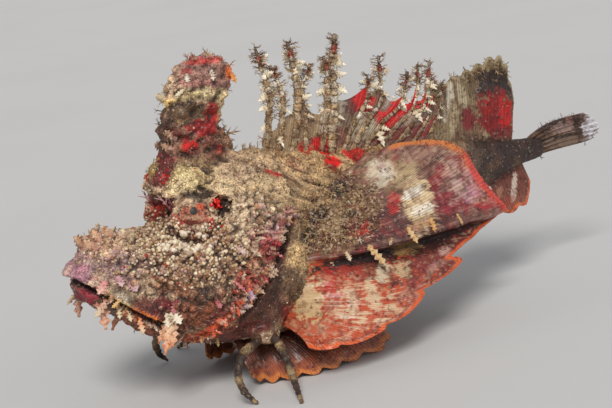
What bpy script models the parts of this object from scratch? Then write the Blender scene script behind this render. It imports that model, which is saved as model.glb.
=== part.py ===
"""A spiny devilfish resting on its pelvic fins and its four walking rays.

Everything is drawn in millimetres in the fish's own frame: x runs back from the tip of
the snout, y to the fish's right, z up from the floor it rests on. The last step of each
mesh turns that into metres, with the origin on the floor under the middle of the fish.
"""
import math
import random

import bmesh
import bpy
import numpy as np
from mathutils import Euler, Matrix, Vector
from mathutils.bvhtree import BVHTree

MM = 0.001
TOTAL_LENGTH = 190.0
GAP = 0.3
SIDES = (("left", -1), ("right", 1))

# Rows of the trunk and tail, and of the head: place along the fish, height of the back,
# height of the belly, half width, and the height at which the section is widest.
TRUNK_ROWS = (
    (26, 46.0, 17.5, 13.0, 27.0),
    (34, 51.0, 14.6, 15.5, 28.0),
    (42, 57.0, 12.0, 17.0, 29.0),
    (52, 61.5, 9.8, 17.8, 30.0),
    (62, 63.8, 8.8, 17.5, 31.0),
    (75, 61.3, 9.6, 16.0, 33.0),
    (88, 58.8, 12.8, 13.5, 35.0),
    (102, 56.8, 18.0, 10.8, 37.0),
    (118, 54.6, 25.0, 8.2, 40.0),
    (134, 52.0, 32.0, 6.0, 42.0),
    (148, 49.2, 37.0, 4.4, 43.4),
    (157, 47.4, 39.2, 3.4, 43.4),
    (163, 46.7, 39.6, 3.0, 43.2),
    (166, 46.3, 40.0, 2.4, 43.2),
)
HEAD_ROWS = (
    (2.0, 42.0, 37.4, 2.8, 39.8),
    (4.5, 45.4, 35.0, 6.8, 39.4),
    (9.0, 48.8, 30.6, 10.6, 38.0),
    (14.0, 50.0, 25.8, 13.6, 36.0),
    (20.0, 50.4, 20.4, 16.0, 34.0),
    (28.0, 50.6, 16.2, 18.2, 32.0),
    (34.0, 53.2, 14.0, 19.4, 31.0),
    (40.0, 58.2, 12.4, 20.2, 31.0),
    (47.0, 62.2, 10.8, 20.6, 31.0),
    (56.0, 64.2, 9.6, 20.2, 32.0),
    (66.0, 64.4, 9.0, 19.0, 33.0),
)
BACK_ROUNDNESS = 1.75
HEAD_ROUNDNESS = 2.15
BELLY_ROUNDNESS = 2.3

# Cuts between the nodes, each a line seen from the side, top first.
GILL_LINE = ((62.5, 80), (63.6, 52), (62.0, 45.6), (56.5, 38.2), (48.2, 28.7), (40.2, 20.9), (30, 15), (22, 2))
TAIL_LINE = ((130.5, 80), (110, 10))
MOUTH_LINE = ((-6, 43.5), (1.6, 40.2), (5.4, 37.2), (9.4, 33.4), (13.6, 29.4), (18.4, 26), (23.4, 23.8), (26.6, 20), (28, 4))

EYE_CENTRE = (37.0, 9.8, 52.0)
EYE_RADIUS = 4.7
EYE_AXIS = (-0.42, 0.86, 0.28)
LID_RADIUS = 6.3


def new_collection(name):
    collection = bpy.data.collections.new(name)
    bpy.context.scene.collection.children.link(collection)
    return collection


def clear_scene():
    for thing in list(bpy.data.objects):
        bpy.data.objects.remove(thing, do_unlink=True)


clear_scene()
FISH = new_collection("spiny_devilfish")
CUTTERS = new_collection("cutters")


def add_object(name, bm, collection=CUTTERS):
    """Turn a mesh drawn in the fish's frame into an object in metres."""
    shift = Vector((-TOTAL_LENGTH / 2, 0, 0))
    for vert in bm.verts:
        vert.co = (vert.co + shift) * MM
    bmesh.ops.recalc_face_normals(bm, faces=bm.faces)
    if bm.calc_volume(signed=True) < 0:
        bmesh.ops.reverse_faces(bm, faces=bm.faces)
    mesh = bpy.data.meshes.new(name)
    bm.to_mesh(mesh)
    bm.free()
    thing = bpy.data.objects.new(name, mesh)
    collection.objects.link(thing)
    if collection is CUTTERS:
        thing.hide_render = True
        thing.display_type = "WIRE"
    return thing


def remove(things):
    for thing in things:
        bpy.data.objects.remove(thing, do_unlink=True)


def apply_modifiers(thing):
    depsgraph = bpy.context.evaluated_depsgraph_get()
    mesh = bpy.data.meshes.new_from_object(thing.evaluated_get(depsgraph))
    thing.modifiers.clear()
    thing.data = mesh


def combine(thing, others, operation, solver="EXACT"):
    """Join, cut or keep the common part with other objects, which are then removed."""
    group = bpy.data.collections.new("operands")
    bpy.context.scene.collection.children.link(group)
    for other in others:
        group.objects.link(other)
    step = thing.modifiers.new(operation, "BOOLEAN")
    step.operation = operation
    step.solver = solver
    step.operand_type = "COLLECTION"
    step.collection = group
    apply_modifiers(thing)
    remove(others)
    bpy.data.collections.remove(group)
    return thing


def keep_largest(thing):
    """Keep only the closed surface that holds the most, as one solid."""
    bm = bmesh.new()
    bm.from_mesh(thing.data)
    bmesh.ops.remove_doubles(bm, verts=bm.verts, dist=2e-7)
    bmesh.ops.dissolve_degenerate(bm, edges=bm.edges, dist=2e-7)
    midway = [vert for vert in bm.verts if len(vert.link_edges) == 2]
    bmesh.ops.dissolve_verts(bm, verts=midway)
    bmesh.ops.triangulate(bm, faces=bm.faces)
    twins = {}
    for face in bm.faces:
        twins.setdefault(frozenset(face.verts), []).append(face)
    doubled = [face for pair in twins.values() if len(pair) > 1 for face in pair]
    bmesh.ops.delete(bm, geom=doubled, context="FACES")
    islands = []
    unseen = set(bm.faces)
    while unseen:
        stack = [unseen.pop()]
        island = list(stack)
        while stack:
            face = stack.pop()
            for edge in face.edges:
                for near in edge.link_faces:
                    if near in unseen:
                        unseen.discard(near)
                        stack.append(near)
                        island.append(near)
        islands.append(island)

    def held(island):
        total = 0.0
        for face in island:
            a, b, c = (vert.co for vert in face.verts)
            total += a.dot(b.cross(c)) / 6
        return total

    islands.sort(key=held)
    for island in islands[:-1]:
        bmesh.ops.delete(bm, geom=island, context="FACES")
    loose = [vert for vert in bm.verts if not vert.link_faces]
    bmesh.ops.delete(bm, geom=loose, context="VERTS")
    bm.to_mesh(thing.data)
    bm.free()


def finish_node(thing, name, colour, roughness):
    """Name a finished solid, move it to the fish's collection and give it its skin."""
    keep_largest(thing)
    thing.name = name
    thing.data.name = name
    for collection in list(thing.users_collection):
        collection.objects.unlink(thing)
    FISH.objects.link(thing)
    thing.hide_render = False
    thing.display_type = "TEXTURED"
    skin = bpy.data.materials.new(name + "_skin")
    skin.use_nodes = True
    shader = skin.node_tree.nodes["Principled BSDF"]
    shader.inputs["Base Color"].default_value = (*colour, 1)
    shader.inputs["Roughness"].default_value = roughness
    shader.inputs["Metallic"].default_value = 0
    thing.data.materials.clear()
    thing.data.materials.append(skin)
    thing.data.shade_smooth()
    thing.data.set_sharp_from_angle(angle=math.radians(50))
    return thing


def spline(keys, values, at):
    """Read a smooth curve through the given values at one place."""
    keys = np.asarray(keys, float)
    values = np.asarray(values, float)
    slopes = np.gradient(values, keys, axis=0)
    i = int(np.clip(np.searchsorted(keys, at) - 1, 0, len(keys) - 2))
    span = keys[i + 1] - keys[i]
    t = min(max((at - keys[i]) / span, 0.0), 1.0)
    a = (1 + 2 * t) * (1 - t) ** 2
    b = t * (1 - t) ** 2
    c = t * t * (3 - 2 * t)
    d = t * t * (t - 1)
    return a * values[i] + b * span * slopes[i] + c * values[i + 1] + d * span * slopes[i + 1]


def signed_power(value, power):
    return math.copysign(abs(value) ** power, value)


def section(row, back_power, grow, sides):
    """One ring of the body, a rounded outline from its row of sizes."""
    x, back, belly, half, level = row
    ring = []
    for k in range(sides):
        angle = 2 * math.pi * k / sides
        across, up = math.cos(angle), math.sin(angle)
        power = 2 / (back_power if up > 0 else BELLY_ROUNDNESS)
        reach = (back - level if up > 0 else level - belly) + grow
        y = (half + grow) * signed_power(across, power)
        ring.append(Vector((x, y, level + reach * signed_power(up, power))))
    return ring


def skin_rings(bm, rings):
    """Join a row of rings into one closed tube with a point at the middle of each end."""
    loops = [[bm.verts.new(point) for point in ring] for ring in rings]
    count = len(rings[0])
    for one, two in zip(loops, loops[1:]):
        for k in range(count):
            n = (k + 1) % count
            bm.faces.new((one[k], one[n], two[n], two[k]))
    for loop, flip in ((loops[0], True), (loops[-1], False)):
        middle = bm.verts.new(sum((v.co for v in loop), Vector()) / count)
        for k in range(count):
            pair = (loop[k], loop[(k + 1) % count])
            bm.faces.new((middle, *(pair[::-1] if flip else pair)))
    return bm


def body_loft(name, rows, step, back_power, grow, sides):
    """A long body through its rows, grown outwards all round by the given amount."""
    keys = [row[0] for row in rows]
    count = max(2, round((keys[-1] - keys[0]) / step))
    rings = []
    for i in range(count + 1):
        x = keys[0] + (keys[-1] - keys[0]) * i / count
        back, belly, half, level = spline(keys, [row[1:] for row in rows], x)
        at = x + (grow if i == count else -grow if i == 0 else 0)
        rings.append(section((at, back, belly, half, level), back_power, grow, sides))
    return add_object(name, skin_rings(bmesh.new(), rings))


def prism(name, outline, half_depth=45.0):
    """A flat outline in x and z, drawn as a filled curve as deep as the whole fish."""
    data = bpy.data.curves.new(name, "CURVE")
    data.dimensions = "2D"
    data.fill_mode = "BOTH"
    data.extrude = half_depth * MM
    line = data.splines.new("POLY")
    line.points.add(len(outline) - 1)
    for point, (x, z) in zip(line.points, outline):
        point.co = ((x - TOTAL_LENGTH / 2) * MM, z * MM, 0, 1)
    line.use_cyclic_u = True
    curve = bpy.data.objects.new(name + "_outline", data)
    CUTTERS.objects.link(curve)
    curve.rotation_euler = (math.pi / 2, 0, 0)
    bpy.context.view_layer.update()
    bm = bmesh.new()
    bm.from_mesh(bpy.data.meshes.new_from_object(curve.evaluated_get(bpy.context.evaluated_depsgraph_get())))
    bmesh.ops.transform(bm, matrix=curve.matrix_world, verts=bm.verts)
    bmesh.ops.remove_doubles(bm, verts=bm.verts, dist=1e-6)
    remove([curve])
    for vert in bm.verts:
        vert.co = vert.co / MM + Vector((TOTAL_LENGTH / 2, 0, 0))
    return add_object(name, bm)


def shifted(line, amount):
    """Move a line sideways, towards the tail where the amount is positive."""
    moved = []
    for i, (x, z) in enumerate(line):
        x0, z0 = line[max(i - 1, 0)]
        x1, z1 = line[min(i + 1, len(line) - 1)]
        length = math.hypot(x1 - x0, z1 - z0)
        moved.append((x - amount * (z1 - z0) / length, z + amount * (x1 - x0) / length))
    return moved


def ahead_of(name, line):
    return prism(name, list(line) + [(-30, line[-1][1]), (-30, line[0][1])])


def behind(name, line):
    return prism(name, list(line) + [(230, line[-1][1]), (230, line[0][1])])


def ellipsoid(name, centre, radii, grow=0.0, tilt=(0, 0, 0), segments=10, rings=6):
    """A rounded mass, grown by the given amount; tilt is in degrees about x, y and z."""
    turn = Euler([math.radians(a) for a in tilt]).to_matrix().to_4x4()
    size = Matrix.Diagonal((*[r + grow for r in radii], 1))
    bm = bmesh.new()
    bmesh.ops.create_uvsphere(
        bm, u_segments=segments, v_segments=rings, radius=1,
        matrix=Matrix.Translation(centre) @ turn @ size)
    return add_object(name, bm)


def rod(name, start, end, start_radius, end_radius, segments=16):
    """A straight round bar or cone between two points."""
    start, end = Vector(start), Vector(end)
    turn = (end - start).to_track_quat("Z", "Y").to_matrix().to_4x4()
    bm = bmesh.new()
    bmesh.ops.create_cone(
        bm, cap_ends=True, segments=segments, radius1=start_radius, radius2=end_radius,
        depth=(end - start).length, matrix=Matrix.Translation((start + end) / 2) @ turn)
    return add_object(name, bm)


def sheet(name, middle, half_thickness, across, along):
    """A thin closed fin from the surface in its middle.

    middle(u, v) gives that surface, u across the rays and v from root to margin, and both
    faces are split into triangles alike.
    """
    def normal(u, v):
        d = 1e-3
        du = middle(min(u + d, 1), v) - middle(max(u - d, 0), v)
        dv = middle(u, min(v + d, 1)) - middle(u, max(v - d, 0))
        return du.cross(dv).normalized()

    bm = bmesh.new()
    faces = []
    for side in (1, -1):
        grid = []
        for i in range(across + 1):
            line = []
            for j in range(along + 1):
                u, v = i / across, j / along
                line.append(bm.verts.new(middle(u, v) + normal(u, v) * side * half_thickness(u, v)))
            grid.append(line)
        faces.append(grid)
    top, bottom = faces
    for i in range(across):
        for j in range(along):
            for grid, flip in ((top, False), (bottom, True)):
                a, b, c, d = grid[i][j], grid[i + 1][j], grid[i + 1][j + 1], grid[i][j + 1]
                for corner in ((a, b, c), (a, c, d)):
                    bm.faces.new(corner[::-1] if flip else corner)
    rim = [(i, 0) for i in range(across)] + [(across, j) for j in range(along)]
    rim += [(i, along) for i in range(across, 0, -1)] + [(0, j) for j in range(along, 0, -1)]
    for (i, j), (k, l) in zip(rim, rim[1:] + rim[:1]):
        a, b, c, d = top[i][j], top[k][l], bottom[k][l], bottom[i][j]
        bm.faces.new((a, d, c))
        bm.faces.new((a, c, b))
    return add_object(name, bm)


def tube(name, points, radii, segments=8, steps=3):
    """A round tapering limb along a smooth curve through its points."""
    count = steps * (len(points) - 1)
    keys = list(range(len(points)))
    rings = []
    for i in range(count + 1):
        t = i * keys[-1] / count
        centre = Vector(spline(keys, points, t))
        lead = Vector(spline(keys, points, min(t + 0.02, keys[-1])))
        lead -= Vector(spline(keys, points, max(t - 0.02, 0)))
        turn = lead.to_track_quat("Z", "Y")
        radius = float(spline(keys, radii, t))
        ring = []
        for k in range(segments):
            angle = 2 * math.pi * k / segments
            spoke = Vector((math.cos(angle), math.sin(angle), 0)) * radius
            ring.append(centre + turn @ spoke)
        rings.append(ring)
    return add_object(name, skin_rings(bmesh.new(), rings))


FROND_SUNK = 0.25


def frond(root, lead, across, length, half_width, thickness=0.9):
    """A flat leaf-shaped growth of skin, a quarter of it sunk in what it grows from."""
    lead = Vector(lead).normalized()
    across = Vector(across)
    across = (across - lead * across.dot(lead)).normalized()
    turn = Matrix((across, lead.cross(across), lead)).transposed().to_4x4()
    half = length * (1 + FROND_SUNK) / 2
    place = Matrix.Translation(Vector(root) + lead * (length - half))
    size = Matrix.Diagonal((half_width, thickness / 2, half, 1))
    bm = bmesh.new()
    bmesh.ops.create_uvsphere(bm, u_segments=4, v_segments=3, radius=1, matrix=place @ turn @ size)
    return add_object("frond", bm)


def wart(place, normal, radius):
    """A blunt cone standing on the skin."""
    return rod("wart", place - normal * radius, place + normal * radius, radius * 1.3, radius * 0.4, 5)


def ray_share(u, rays):
    """How far a place across a fin is up the nearest ray: 1 on its crest, 0 between rays."""
    return math.sin(math.pi * rays * u) ** 2


def rayed(rays, web, crest):
    """Half the thickness of a fin whose rays stand out from the skin between them."""
    return lambda u, v: (web + (crest - web) * ray_share(u, rays)) * (1 - 0.3 * v)


def scalloped(u, v, rays, depth):
    """Draw the skin between the rays back from the margin, by a share of the fin's reach."""
    return v * (1 - depth * (1 - ray_share(u, rays)))


class Surface:
    """Finds points on a solid from outside, so that growths are rooted on it."""

    def __init__(self, thing):
        bm = bmesh.new()
        bm.from_mesh(thing.data)
        self.tree = BVHTree.FromBMesh(bm)
        bm.free()

    def touch(self, start, lead):
        """The place and normal where a straight line from outside meets the solid."""
        shift = Vector((TOTAL_LENGTH / 2, 0, 0))
        place, normal, _, _ = self.tree.ray_cast((Vector(start) - shift) * MM, Vector(lead))
        return (place / MM + shift, normal) if place else (None, None)

    def from_side(self, x, z, side):
        return self.touch((x, side * 80, z), (0, -side, 0))

    def around(self, x, level, angle, side):
        """Seen along the fish: angle 0 is level with the given height, 90 is above it."""
        spoke = Vector((0, side * math.cos(angle), math.sin(angle)))
        return self.touch(Vector((x, 0, level)) + spoke * 80, -spoke)


def mirrored(point, side):
    return (point[0], point[1] * side, point[2])


# The trunk and tail

def shoulder_pads(grow):
    """The fleshy base of each pectoral fin, which also carries the walking rays."""
    pads = []
    for name, side in SIDES:
        pads.append(ellipsoid(
            "shoulder_" + name, mirrored((57.5, 14.6, 28), side), (6.2, 6.0, 18.5),
            grow, (0, 28, 0), 14, 10))
    return pads


def trunk_core(grow=0.0):
    body = body_loft("trunk_core", TRUNK_ROWS, 6.5, BACK_ROUNDNESS, grow, 24)
    return combine(body, shoulder_pads(grow), "UNION")


def make_trunk():
    trunk = trunk_core()
    combine(trunk, [behind("behind_gills", shifted(GILL_LINE, GAP / 2))], "INTERSECT")
    combine(trunk, [ahead_of("ahead_of_tail", shifted(TAIL_LINE, -GAP / 2))], "INTERSECT")
    return finish_node(trunk, "trunk", (0.42, 0.32, 0.22), 0.7)


def make_tail():
    tail = body_loft("tail_core", TRUNK_ROWS, 6.5, BACK_ROUNDNESS, 0.0, 24)
    combine(tail, [behind("behind_vent", shifted(TAIL_LINE, GAP / 2))], "INTERSECT")
    return finish_node(tail, "tail", (0.16, 0.09, 0.06), 0.7)


# The head

def head_masses(grow):
    """Snout, jaw plates, eye turrets, nape, cheeks and gill covers, on both sides."""
    masses = [ellipsoid("snout_knob", (4.8, 0, 42.0), (4.8, 5.2, 4.0), grow)]
    for name, side in SIDES:
        def mass(what, centre, radii, tilt=(0, 0, 0)):
            turned = (tilt[0] * side, tilt[1], tilt[2] * side)
            masses.append(ellipsoid(what + name, mirrored(centre, side), radii, grow, turned))
        mass("snout_corner_", (12.5, 7.2, 46.6), (5.0, 3.6, 3.8))
        mass("maxilla_", (13.2, 12.4, 32.6), (9.6, 2.2, 4.2), (0, 42, 26))
        mass("cheek_ridge_", (24.5, 13.6, 38.5), (12.0, 4.2, 4.2), (0, 8, 14))
        mass("cheek_", (35.5, 15.4, 28.5), (12.0, 6.2, 9.0), (0, 20, 8))
        mass("turret_", (37.0, 8.4, 51.2), (LID_RADIUS + 0.3, LID_RADIUS - 0.3, LID_RADIUS))
        mass("nape_lump_", (39.6, 5.0, 59.6), (6.0, 3.4, 3.2), (0, -20, 0))
        mass("gill_cover_", (49.0, 13.6, 36.5), (12.5, 8.6, 13.0), (0, 20, 0))
    return masses


def head_core(grow=0.0):
    skull = body_loft("head_core", HEAD_ROWS, 5.0, HEAD_ROUNDNESS, grow, 20)
    return combine(skull, head_masses(grow), "UNION")


# The lips, from the corner of the mouth to the middle of the snout.
UPPER_LIP = ((20.4, 16.2, 27.4), (14.4, 13.8, 31.4), (8.6, 10.4, 36.6), (4.6, 6.6, 40.2), (2.2, 0, 42.0))
LOWER_LIP = ((18.6, 14.6, 24.4), (13.4, 12.0, 28.2), (8.2, 8.8, 33.0), (4.2, 5.4, 36.8), (2.0, 0, 38.6))


def lip(points, radius):
    whole = [mirrored(point, -1) for point in points] + [mirrored(point, 1) for point in points[-2::-1]]
    return tube("lip", whole, [radius] * len(whole), 6, 1)


WART_COUNT = 46
WART_SPACING = 3.6


def head_warts(surface):
    """Warts over the cheeks and snout, small in front and away from the eyes."""
    draw = random.Random(11)
    placed = []
    growths = []
    while len(placed) < WART_COUNT:
        side = draw.choice((-1, 1))
        x = draw.uniform(7, 56)
        place, normal = surface.around(x, 34, math.radians(draw.uniform(-16, 62)), side)
        if place is None or x > gill_place(place.z) - 4:
            continue
        if (place - Vector(mirrored(EYE_CENTRE, side))).length < LID_RADIUS + 2.2:
            continue
        if any((place - other).length < WART_SPACING for other in placed):
            continue
        placed.append(place)
        growths.append(wart(place, normal, draw.uniform(1.0, 1.6)))
    return growths


def gill_place(z):
    """How far back the gill opening is at one height."""
    heights = [point[1] for point in GILL_LINE]
    return float(np.interp(z, heights[::-1], [point[0] for point in GILL_LINE][::-1]))


# Flaps of the snout and jaws: root, lead, length and half width, on the fish's right.
FACE_FLAPS = (
    ((4.6, 2.6, 45.6), (-0.3, 0.3, 1.0), 3.0, 1.4),
    ((6.0, 8.6, 38.4), (-0.3, 0.5, -1.0), 9.6, 2.3),
    ((12.0, 8.2, 49.2), (-0.4, 0.3, 1.0), 5.0, 2.2),
    ((16.4, 9.8, 48.6), (0.1, 0.4, 1.0), 3.6, 1.2),
    ((13.0, 13.4, 32.0), (-0.2, 0.6, -1.0), 5.2, 1.5),
    ((20.6, 16.8, 28.0), (-0.1, 0.35, -1.0), 9.8, 2.9),
    ((26.0, 18.4, 26.6), (0.2, 0.6, -0.8), 4.6, 1.6),
    ((31.0, 12.0, 53.4), (-0.5, 0.4, 1.0), 4.4, 1.2),
    ((43.0, 12.6, 56.2), (0.3, 0.5, 1.0), 3.6, 1.1),
    ((33.2, 20.6, 27.4), (0.3, 0.7, -0.8), 4.8, 1.6),
)
GILL_FLAP_HEIGHTS = (46.0, 41.6, 37.4, 33.2, 29.2, 25.4, 22.0)
PREOPERCLE_SPINES = ((42.5, 30.0), (40.5, 25.4), (45.5, 35.0))


def head_flaps(surface):
    growths = []
    for name, side in SIDES:
        for root, lead, length, half_width in FACE_FLAPS:
            seat, normal = surface.touch(
                Vector(mirrored(root, side)) + Vector(mirrored(lead, side)).normalized() * 30,
                -Vector(mirrored(lead, side)).normalized())
            root = Vector(mirrored(root, side)) if seat is None else seat
            growths.append(frond(root, mirrored(lead, side), (1, -0.4 * side, 0.2), length, half_width))
        for z in GILL_FLAP_HEIGHTS:
            place, normal = surface.from_side(gill_place(z) - 1.6, z, side)
            growths.append(frond(place, (0.9, 0.75 * side, -0.35), (0.4, 0, 1), 4.2, 1.9))
        for x, z in PREOPERCLE_SPINES:
            place, normal = surface.from_side(x, z, side)
            growths.append(rod("spine", place - normal, place + Vector((3.0, 1.8 * side, -1.4)), 1.3, 0.3, 6))
    return growths


def make_head():
    head = head_core()
    combine(head, [lip(UPPER_LIP, 1.2)], "UNION")
    surface = Surface(head)
    growths = head_warts(surface) + head_flaps(surface)
    combine(head, [ahead_of("ahead_of_gills", shifted(GILL_LINE, -GAP / 2))], "INTERSECT")
    hollows = [ahead_of("mouth", shifted(MOUTH_LINE, GAP / 2))]
    hollows.append(ellipsoid("between_eyes", (35.0, 0, 56.2), (6.5, 3.2, 5.6)))
    hollows.append(ellipsoid("snout_dip", (26.0, 0, 54.0), (7.5, 6.5, 4.6)))
    for name, side in SIDES:
        eye = Vector(mirrored(EYE_CENTRE, side))
        axis = Vector(mirrored(EYE_AXIS, side)).normalized()
        hollows.append(ellipsoid("socket_" + name, eye, [EYE_RADIUS + GAP] * 3, 0, (0, 0, 0), 14, 10))
        hollows.append(rod("lids_" + name, eye + axis * 1.8, eye + axis * 9, 4.2, 5.6, 14))
        hollows.append(ellipsoid("pit_" + name, mirrored((45.2, 12.6, 52.6), side), (2.6, 3.2, 2.6)))
        hollows.append(ellipsoid("nostril_" + name, mirrored((17.0, 9.6, 47.4), side), (1.0, 1.6, 1.6)))
    combine(head, hollows, "DIFFERENCE")
    combine(head, growths, "UNION", "MANIFOLD")
    return finish_node(head, "head", (0.50, 0.36, 0.28), 0.7)


def make_lower_jaw():
    jaw = body_loft("jaw_core", HEAD_ROWS, 5.0, HEAD_ROUNDNESS, 0.0, 20)
    combine(jaw, [lip(LOWER_LIP, 1.0)], "UNION")
    combine(jaw, [ahead_of("jaw_side", shifted(MOUTH_LINE, -GAP / 2))], "INTERSECT")
    return finish_node(jaw, "lower_jaw", (0.30, 0.14, 0.07), 0.7)


def make_eyes():
    for name, side in SIDES:
        eye = ellipsoid("eye", mirrored(EYE_CENTRE, side), [EYE_RADIUS] * 3, 0, (0, 0, 0), 14, 10)
        finish_node(eye, "eye_" + name, (0.45, 0.12, 0.05), 0.25)


# The front of the dorsal fin, three spines in one thick column of skin

COLUMN_ROWS = (
    (52, 33.0, 57.0, 4.0),
    (60, 30.6, 58.6, 4.4),
    (65, 31.6, 58.2, 4.6),
    (70, 34.2, 55.6, 4.6),
    (76, 35.0, 54.6, 4.4),
    (81, 36.6, 57.0, 4.2),
    (86, 39.0, 60.8, 4.2),
    (90, 43.6, 59.0, 3.8),
    (93.2, 49.0, 55.4, 2.2),
)


# Lumps of the column: centre and radii. Cirri of it: height, angle round it, length.
COLUMN_LUMPS = (
    ((51.5, 0, 90.5), (6.2, 4.6, 4.6)),
    ((43.0, 0, 86.5), (4.4, 4.4, 4.0)),
    ((57.6, 0, 86.4), (3.6, 3.6, 4.0)),
    ((39.8, 0, 74.5), (4.2, 5.2, 4.4)),
    ((50.0, 0, 79.5), (6.4, 4.8, 3.2)),
    ((33.0, 1.5, 62.5), (3.0, 3.6, 7.0)),
    ((51.0, 0, 70.0), (5.4, 5.2, 3.4)),
)
COLUMN_CIRRI = 14


def make_dorsal_front():
    keys = [row[0] for row in COLUMN_ROWS]
    values = [row[1:] for row in COLUMN_ROWS]
    count = 11
    rings = []
    for i in range(count + 1):
        z = keys[0] + (keys[-1] - keys[0]) * i / count
        front, rear, half = spline(keys, values, z)
        ring = []
        for k in range(14):
            angle = 2 * math.pi * k / 14
            x = (front + rear) / 2 + (rear - front) / 2 * signed_power(math.cos(angle), 0.85)
            ring.append(Vector((x, half * math.sin(angle), z)))
        rings.append(ring)
    column = add_object("column", skin_rings(bmesh.new(), rings))
    combine(column, [ellipsoid("lump", centre, radii) for centre, radii in COLUMN_LUMPS], "UNION")
    growths = []
    draw = random.Random(5)
    for i in range(COLUMN_CIRRI):
        z = 65 + 26 * i / (COLUMN_CIRRI - 1)
        front, rear, half = spline(keys, values, z)
        angle = 2.4 * i
        x = (front + rear) / 2 + (rear - front) / 2 * math.cos(angle) * 0.9
        root = Vector((x, half * math.sin(angle) * 0.8, z))
        lead = Vector((math.cos(angle), math.sin(angle), draw.uniform(-0.3, 0.7)))
        growths.append(frond(root, lead, (0.1, 0.2, 1), draw.uniform(3.2, 4.6), 1.1))
    growths.append(frond((58.6, 0, 85.6), (1, 0, 0.1), (0, 0, 1), 4.4, 1.8))
    combine(column, growths, "UNION", "MANIFOLD")
    combine(column, [head_core(GAP)], "DIFFERENCE", "MANIFOLD")
    return finish_node(column, "dorsal_front", (0.33, 0.12, 0.10), 0.7)


# The spines behind it

SPINE_COUNT = 12
SPINE_BASES = (66.0, 119.5)
# Share of the way along the fin, how far the tip leans back, and the spine's length.
SPINE_ROWS = (
    (0.0, 1.5, 31.5),
    (0.1, 2.5, 26.0),
    (0.2, 4.5, 32.5),
    (0.32, 5.0, 26.5),
    (0.45, 7.0, 35.0),
    (0.53, 8.0, 24.0),
    (0.62, 13.5, 27.0),
    (0.72, 13.0, 23.5),
    (0.82, 12.5, 25.5),
    (0.91, 9.5, 21.0),
    (1.0, 7.5, 25.5),
)
TASSELS = (0.45, 0.64, 0.82, 0.96)


def back_height(x):
    return float(spline([row[0] for row in TRUNK_ROWS], [row[1] for row in TRUNK_ROWS], x))


def spine_tip(t):
    """The tip of the spine at a share t of the way along the fin."""
    lean, length = spline([row[0] for row in SPINE_ROWS], [row[1:] for row in SPINE_ROWS], t)
    base = SPINE_BASES[0] + (SPINE_BASES[1] - SPINE_BASES[0]) * t
    rise = math.sqrt(length * length - lean * lean)
    return Vector((base + lean, 0, back_height(base) + rise))


def web_share(t):
    """How much of each spine the web between them reaches: little in front, more behind."""
    step = min(1, max(0, (t - 0.34) / 0.12))
    return 0.24 + 0.36 * step * step * (3 - 2 * step)


def make_dorsal_spines():
    def middle(u, v):
        x = SPINE_BASES[0] - 1.5 + (SPINE_BASES[1] - SPINE_BASES[0] + 3.5) * u
        root = Vector((x, 0, back_height(x) - 3))
        return root.lerp(spine_tip(u), v * web_share(u))

    fin = sheet("spine_web", middle, lambda u, v: 0.8 - 0.35 * v, 13, 1)
    growths = []
    draw = random.Random(3)
    for i in range(SPINE_COUNT):
        t = i / (SPINE_COUNT - 1)
        x = SPINE_BASES[0] + (SPINE_BASES[1] - SPINE_BASES[0]) * t
        root = Vector((x, 0, back_height(x) - 2))
        tip = spine_tip(t)
        sway = draw.uniform(-1.2, 1.2)
        bend = root.lerp(tip, 0.5) + Vector((-0.08 * (tip - root).z * (1 if i else -1), sway * 0.3, 0))
        growths.append(tube("spine", (root, bend, tip + Vector((0, sway, 0))), (1.6, 1.05, 0.45), 5, 1))
        for k, share in enumerate(TASSELS):
            if share < web_share(t) + 0.06:
                continue
            place = Vector(spline((0, 1, 2), (root, bend, tip + Vector((0, sway, 0))), 2 * share))
            angle = 2.4 * k + i
            lead = Vector((math.cos(angle), 0.8 * math.sin(angle), draw.uniform(0.2, 0.9)))
            size = draw.uniform(4.0, 5.6) * (0.8 if i > 5 else 1.0)
            growths.append(frond(place, lead, (-lead.y, lead.x, 0.5), size, 1.15))
    combine(fin, growths, "UNION", "MANIFOLD")
    combine(fin, [trunk_core(GAP)], "DIFFERENCE", "MANIFOLD")
    return finish_node(fin, "dorsal_spines", (0.60, 0.50, 0.36), 0.7)


# The soft part of the dorsal fin, the tail fin and the anal fin

SOFT_DORSAL = ((123.2, 130.0, 71.5), (141.0, 142.8, 73.0), (149.0, 155.8, 73.6), (154.5, 158.0, 61.5))
CAUDAL = (((160, 46.2), (185.0, 50.6)), ((160, 43.4), (190.0, 45.0)), ((160, 40.2), (187.4, 41.2)))
# Cirri along the upper edge of the tail fin: root and lead.
CAUDAL_CIRRI = (
    ((164, 0.2, 46.0), (0.5, 0.3, 1)),
    ((169, 0.7, 48.6), (0.6, -0.3, 1)),
    ((174, 0.4, 50.2), (0.7, 0.4, 1)),
    ((179, 0.0, 51.0), (0.8, -0.2, 1)),
)
SOFT_DORSAL_RAYS = 8
CAUDAL_RAYS = 6
ANAL_RAYS = 11
ANAL = ((113.0, 116.0, 15.0), (128.0, 132.0, 18.0), (142.0, 146.0, 22.5), (152.0, 156.0, 24.0), (157.0, 160.5, 31.5))


def belly_height(x):
    return float(spline([row[0] for row in TRUNK_ROWS], [row[2] for row in TRUNK_ROWS], x))


def make_soft_dorsal():
    def middle(u, v):
        base, tip_x, tip_z = spline([0, 0.35, 0.75, 1], SOFT_DORSAL, u)
        root = Vector((base, 0, back_height(base) - 2.5))
        reach = scalloped(u, v, SOFT_DORSAL_RAYS, 0.05)
        return root.lerp(Vector((tip_x, 1.2 * math.sin(math.pi * u), tip_z)), reach)

    fin = sheet("soft_dorsal", middle, rayed(SOFT_DORSAL_RAYS, 0.4, 0.8), 2 * SOFT_DORSAL_RAYS, 4)
    combine(fin, [trunk_core(GAP)], "DIFFERENCE")
    return finish_node(fin, "soft_dorsal", (0.35, 0.22, 0.12), 0.7)


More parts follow.
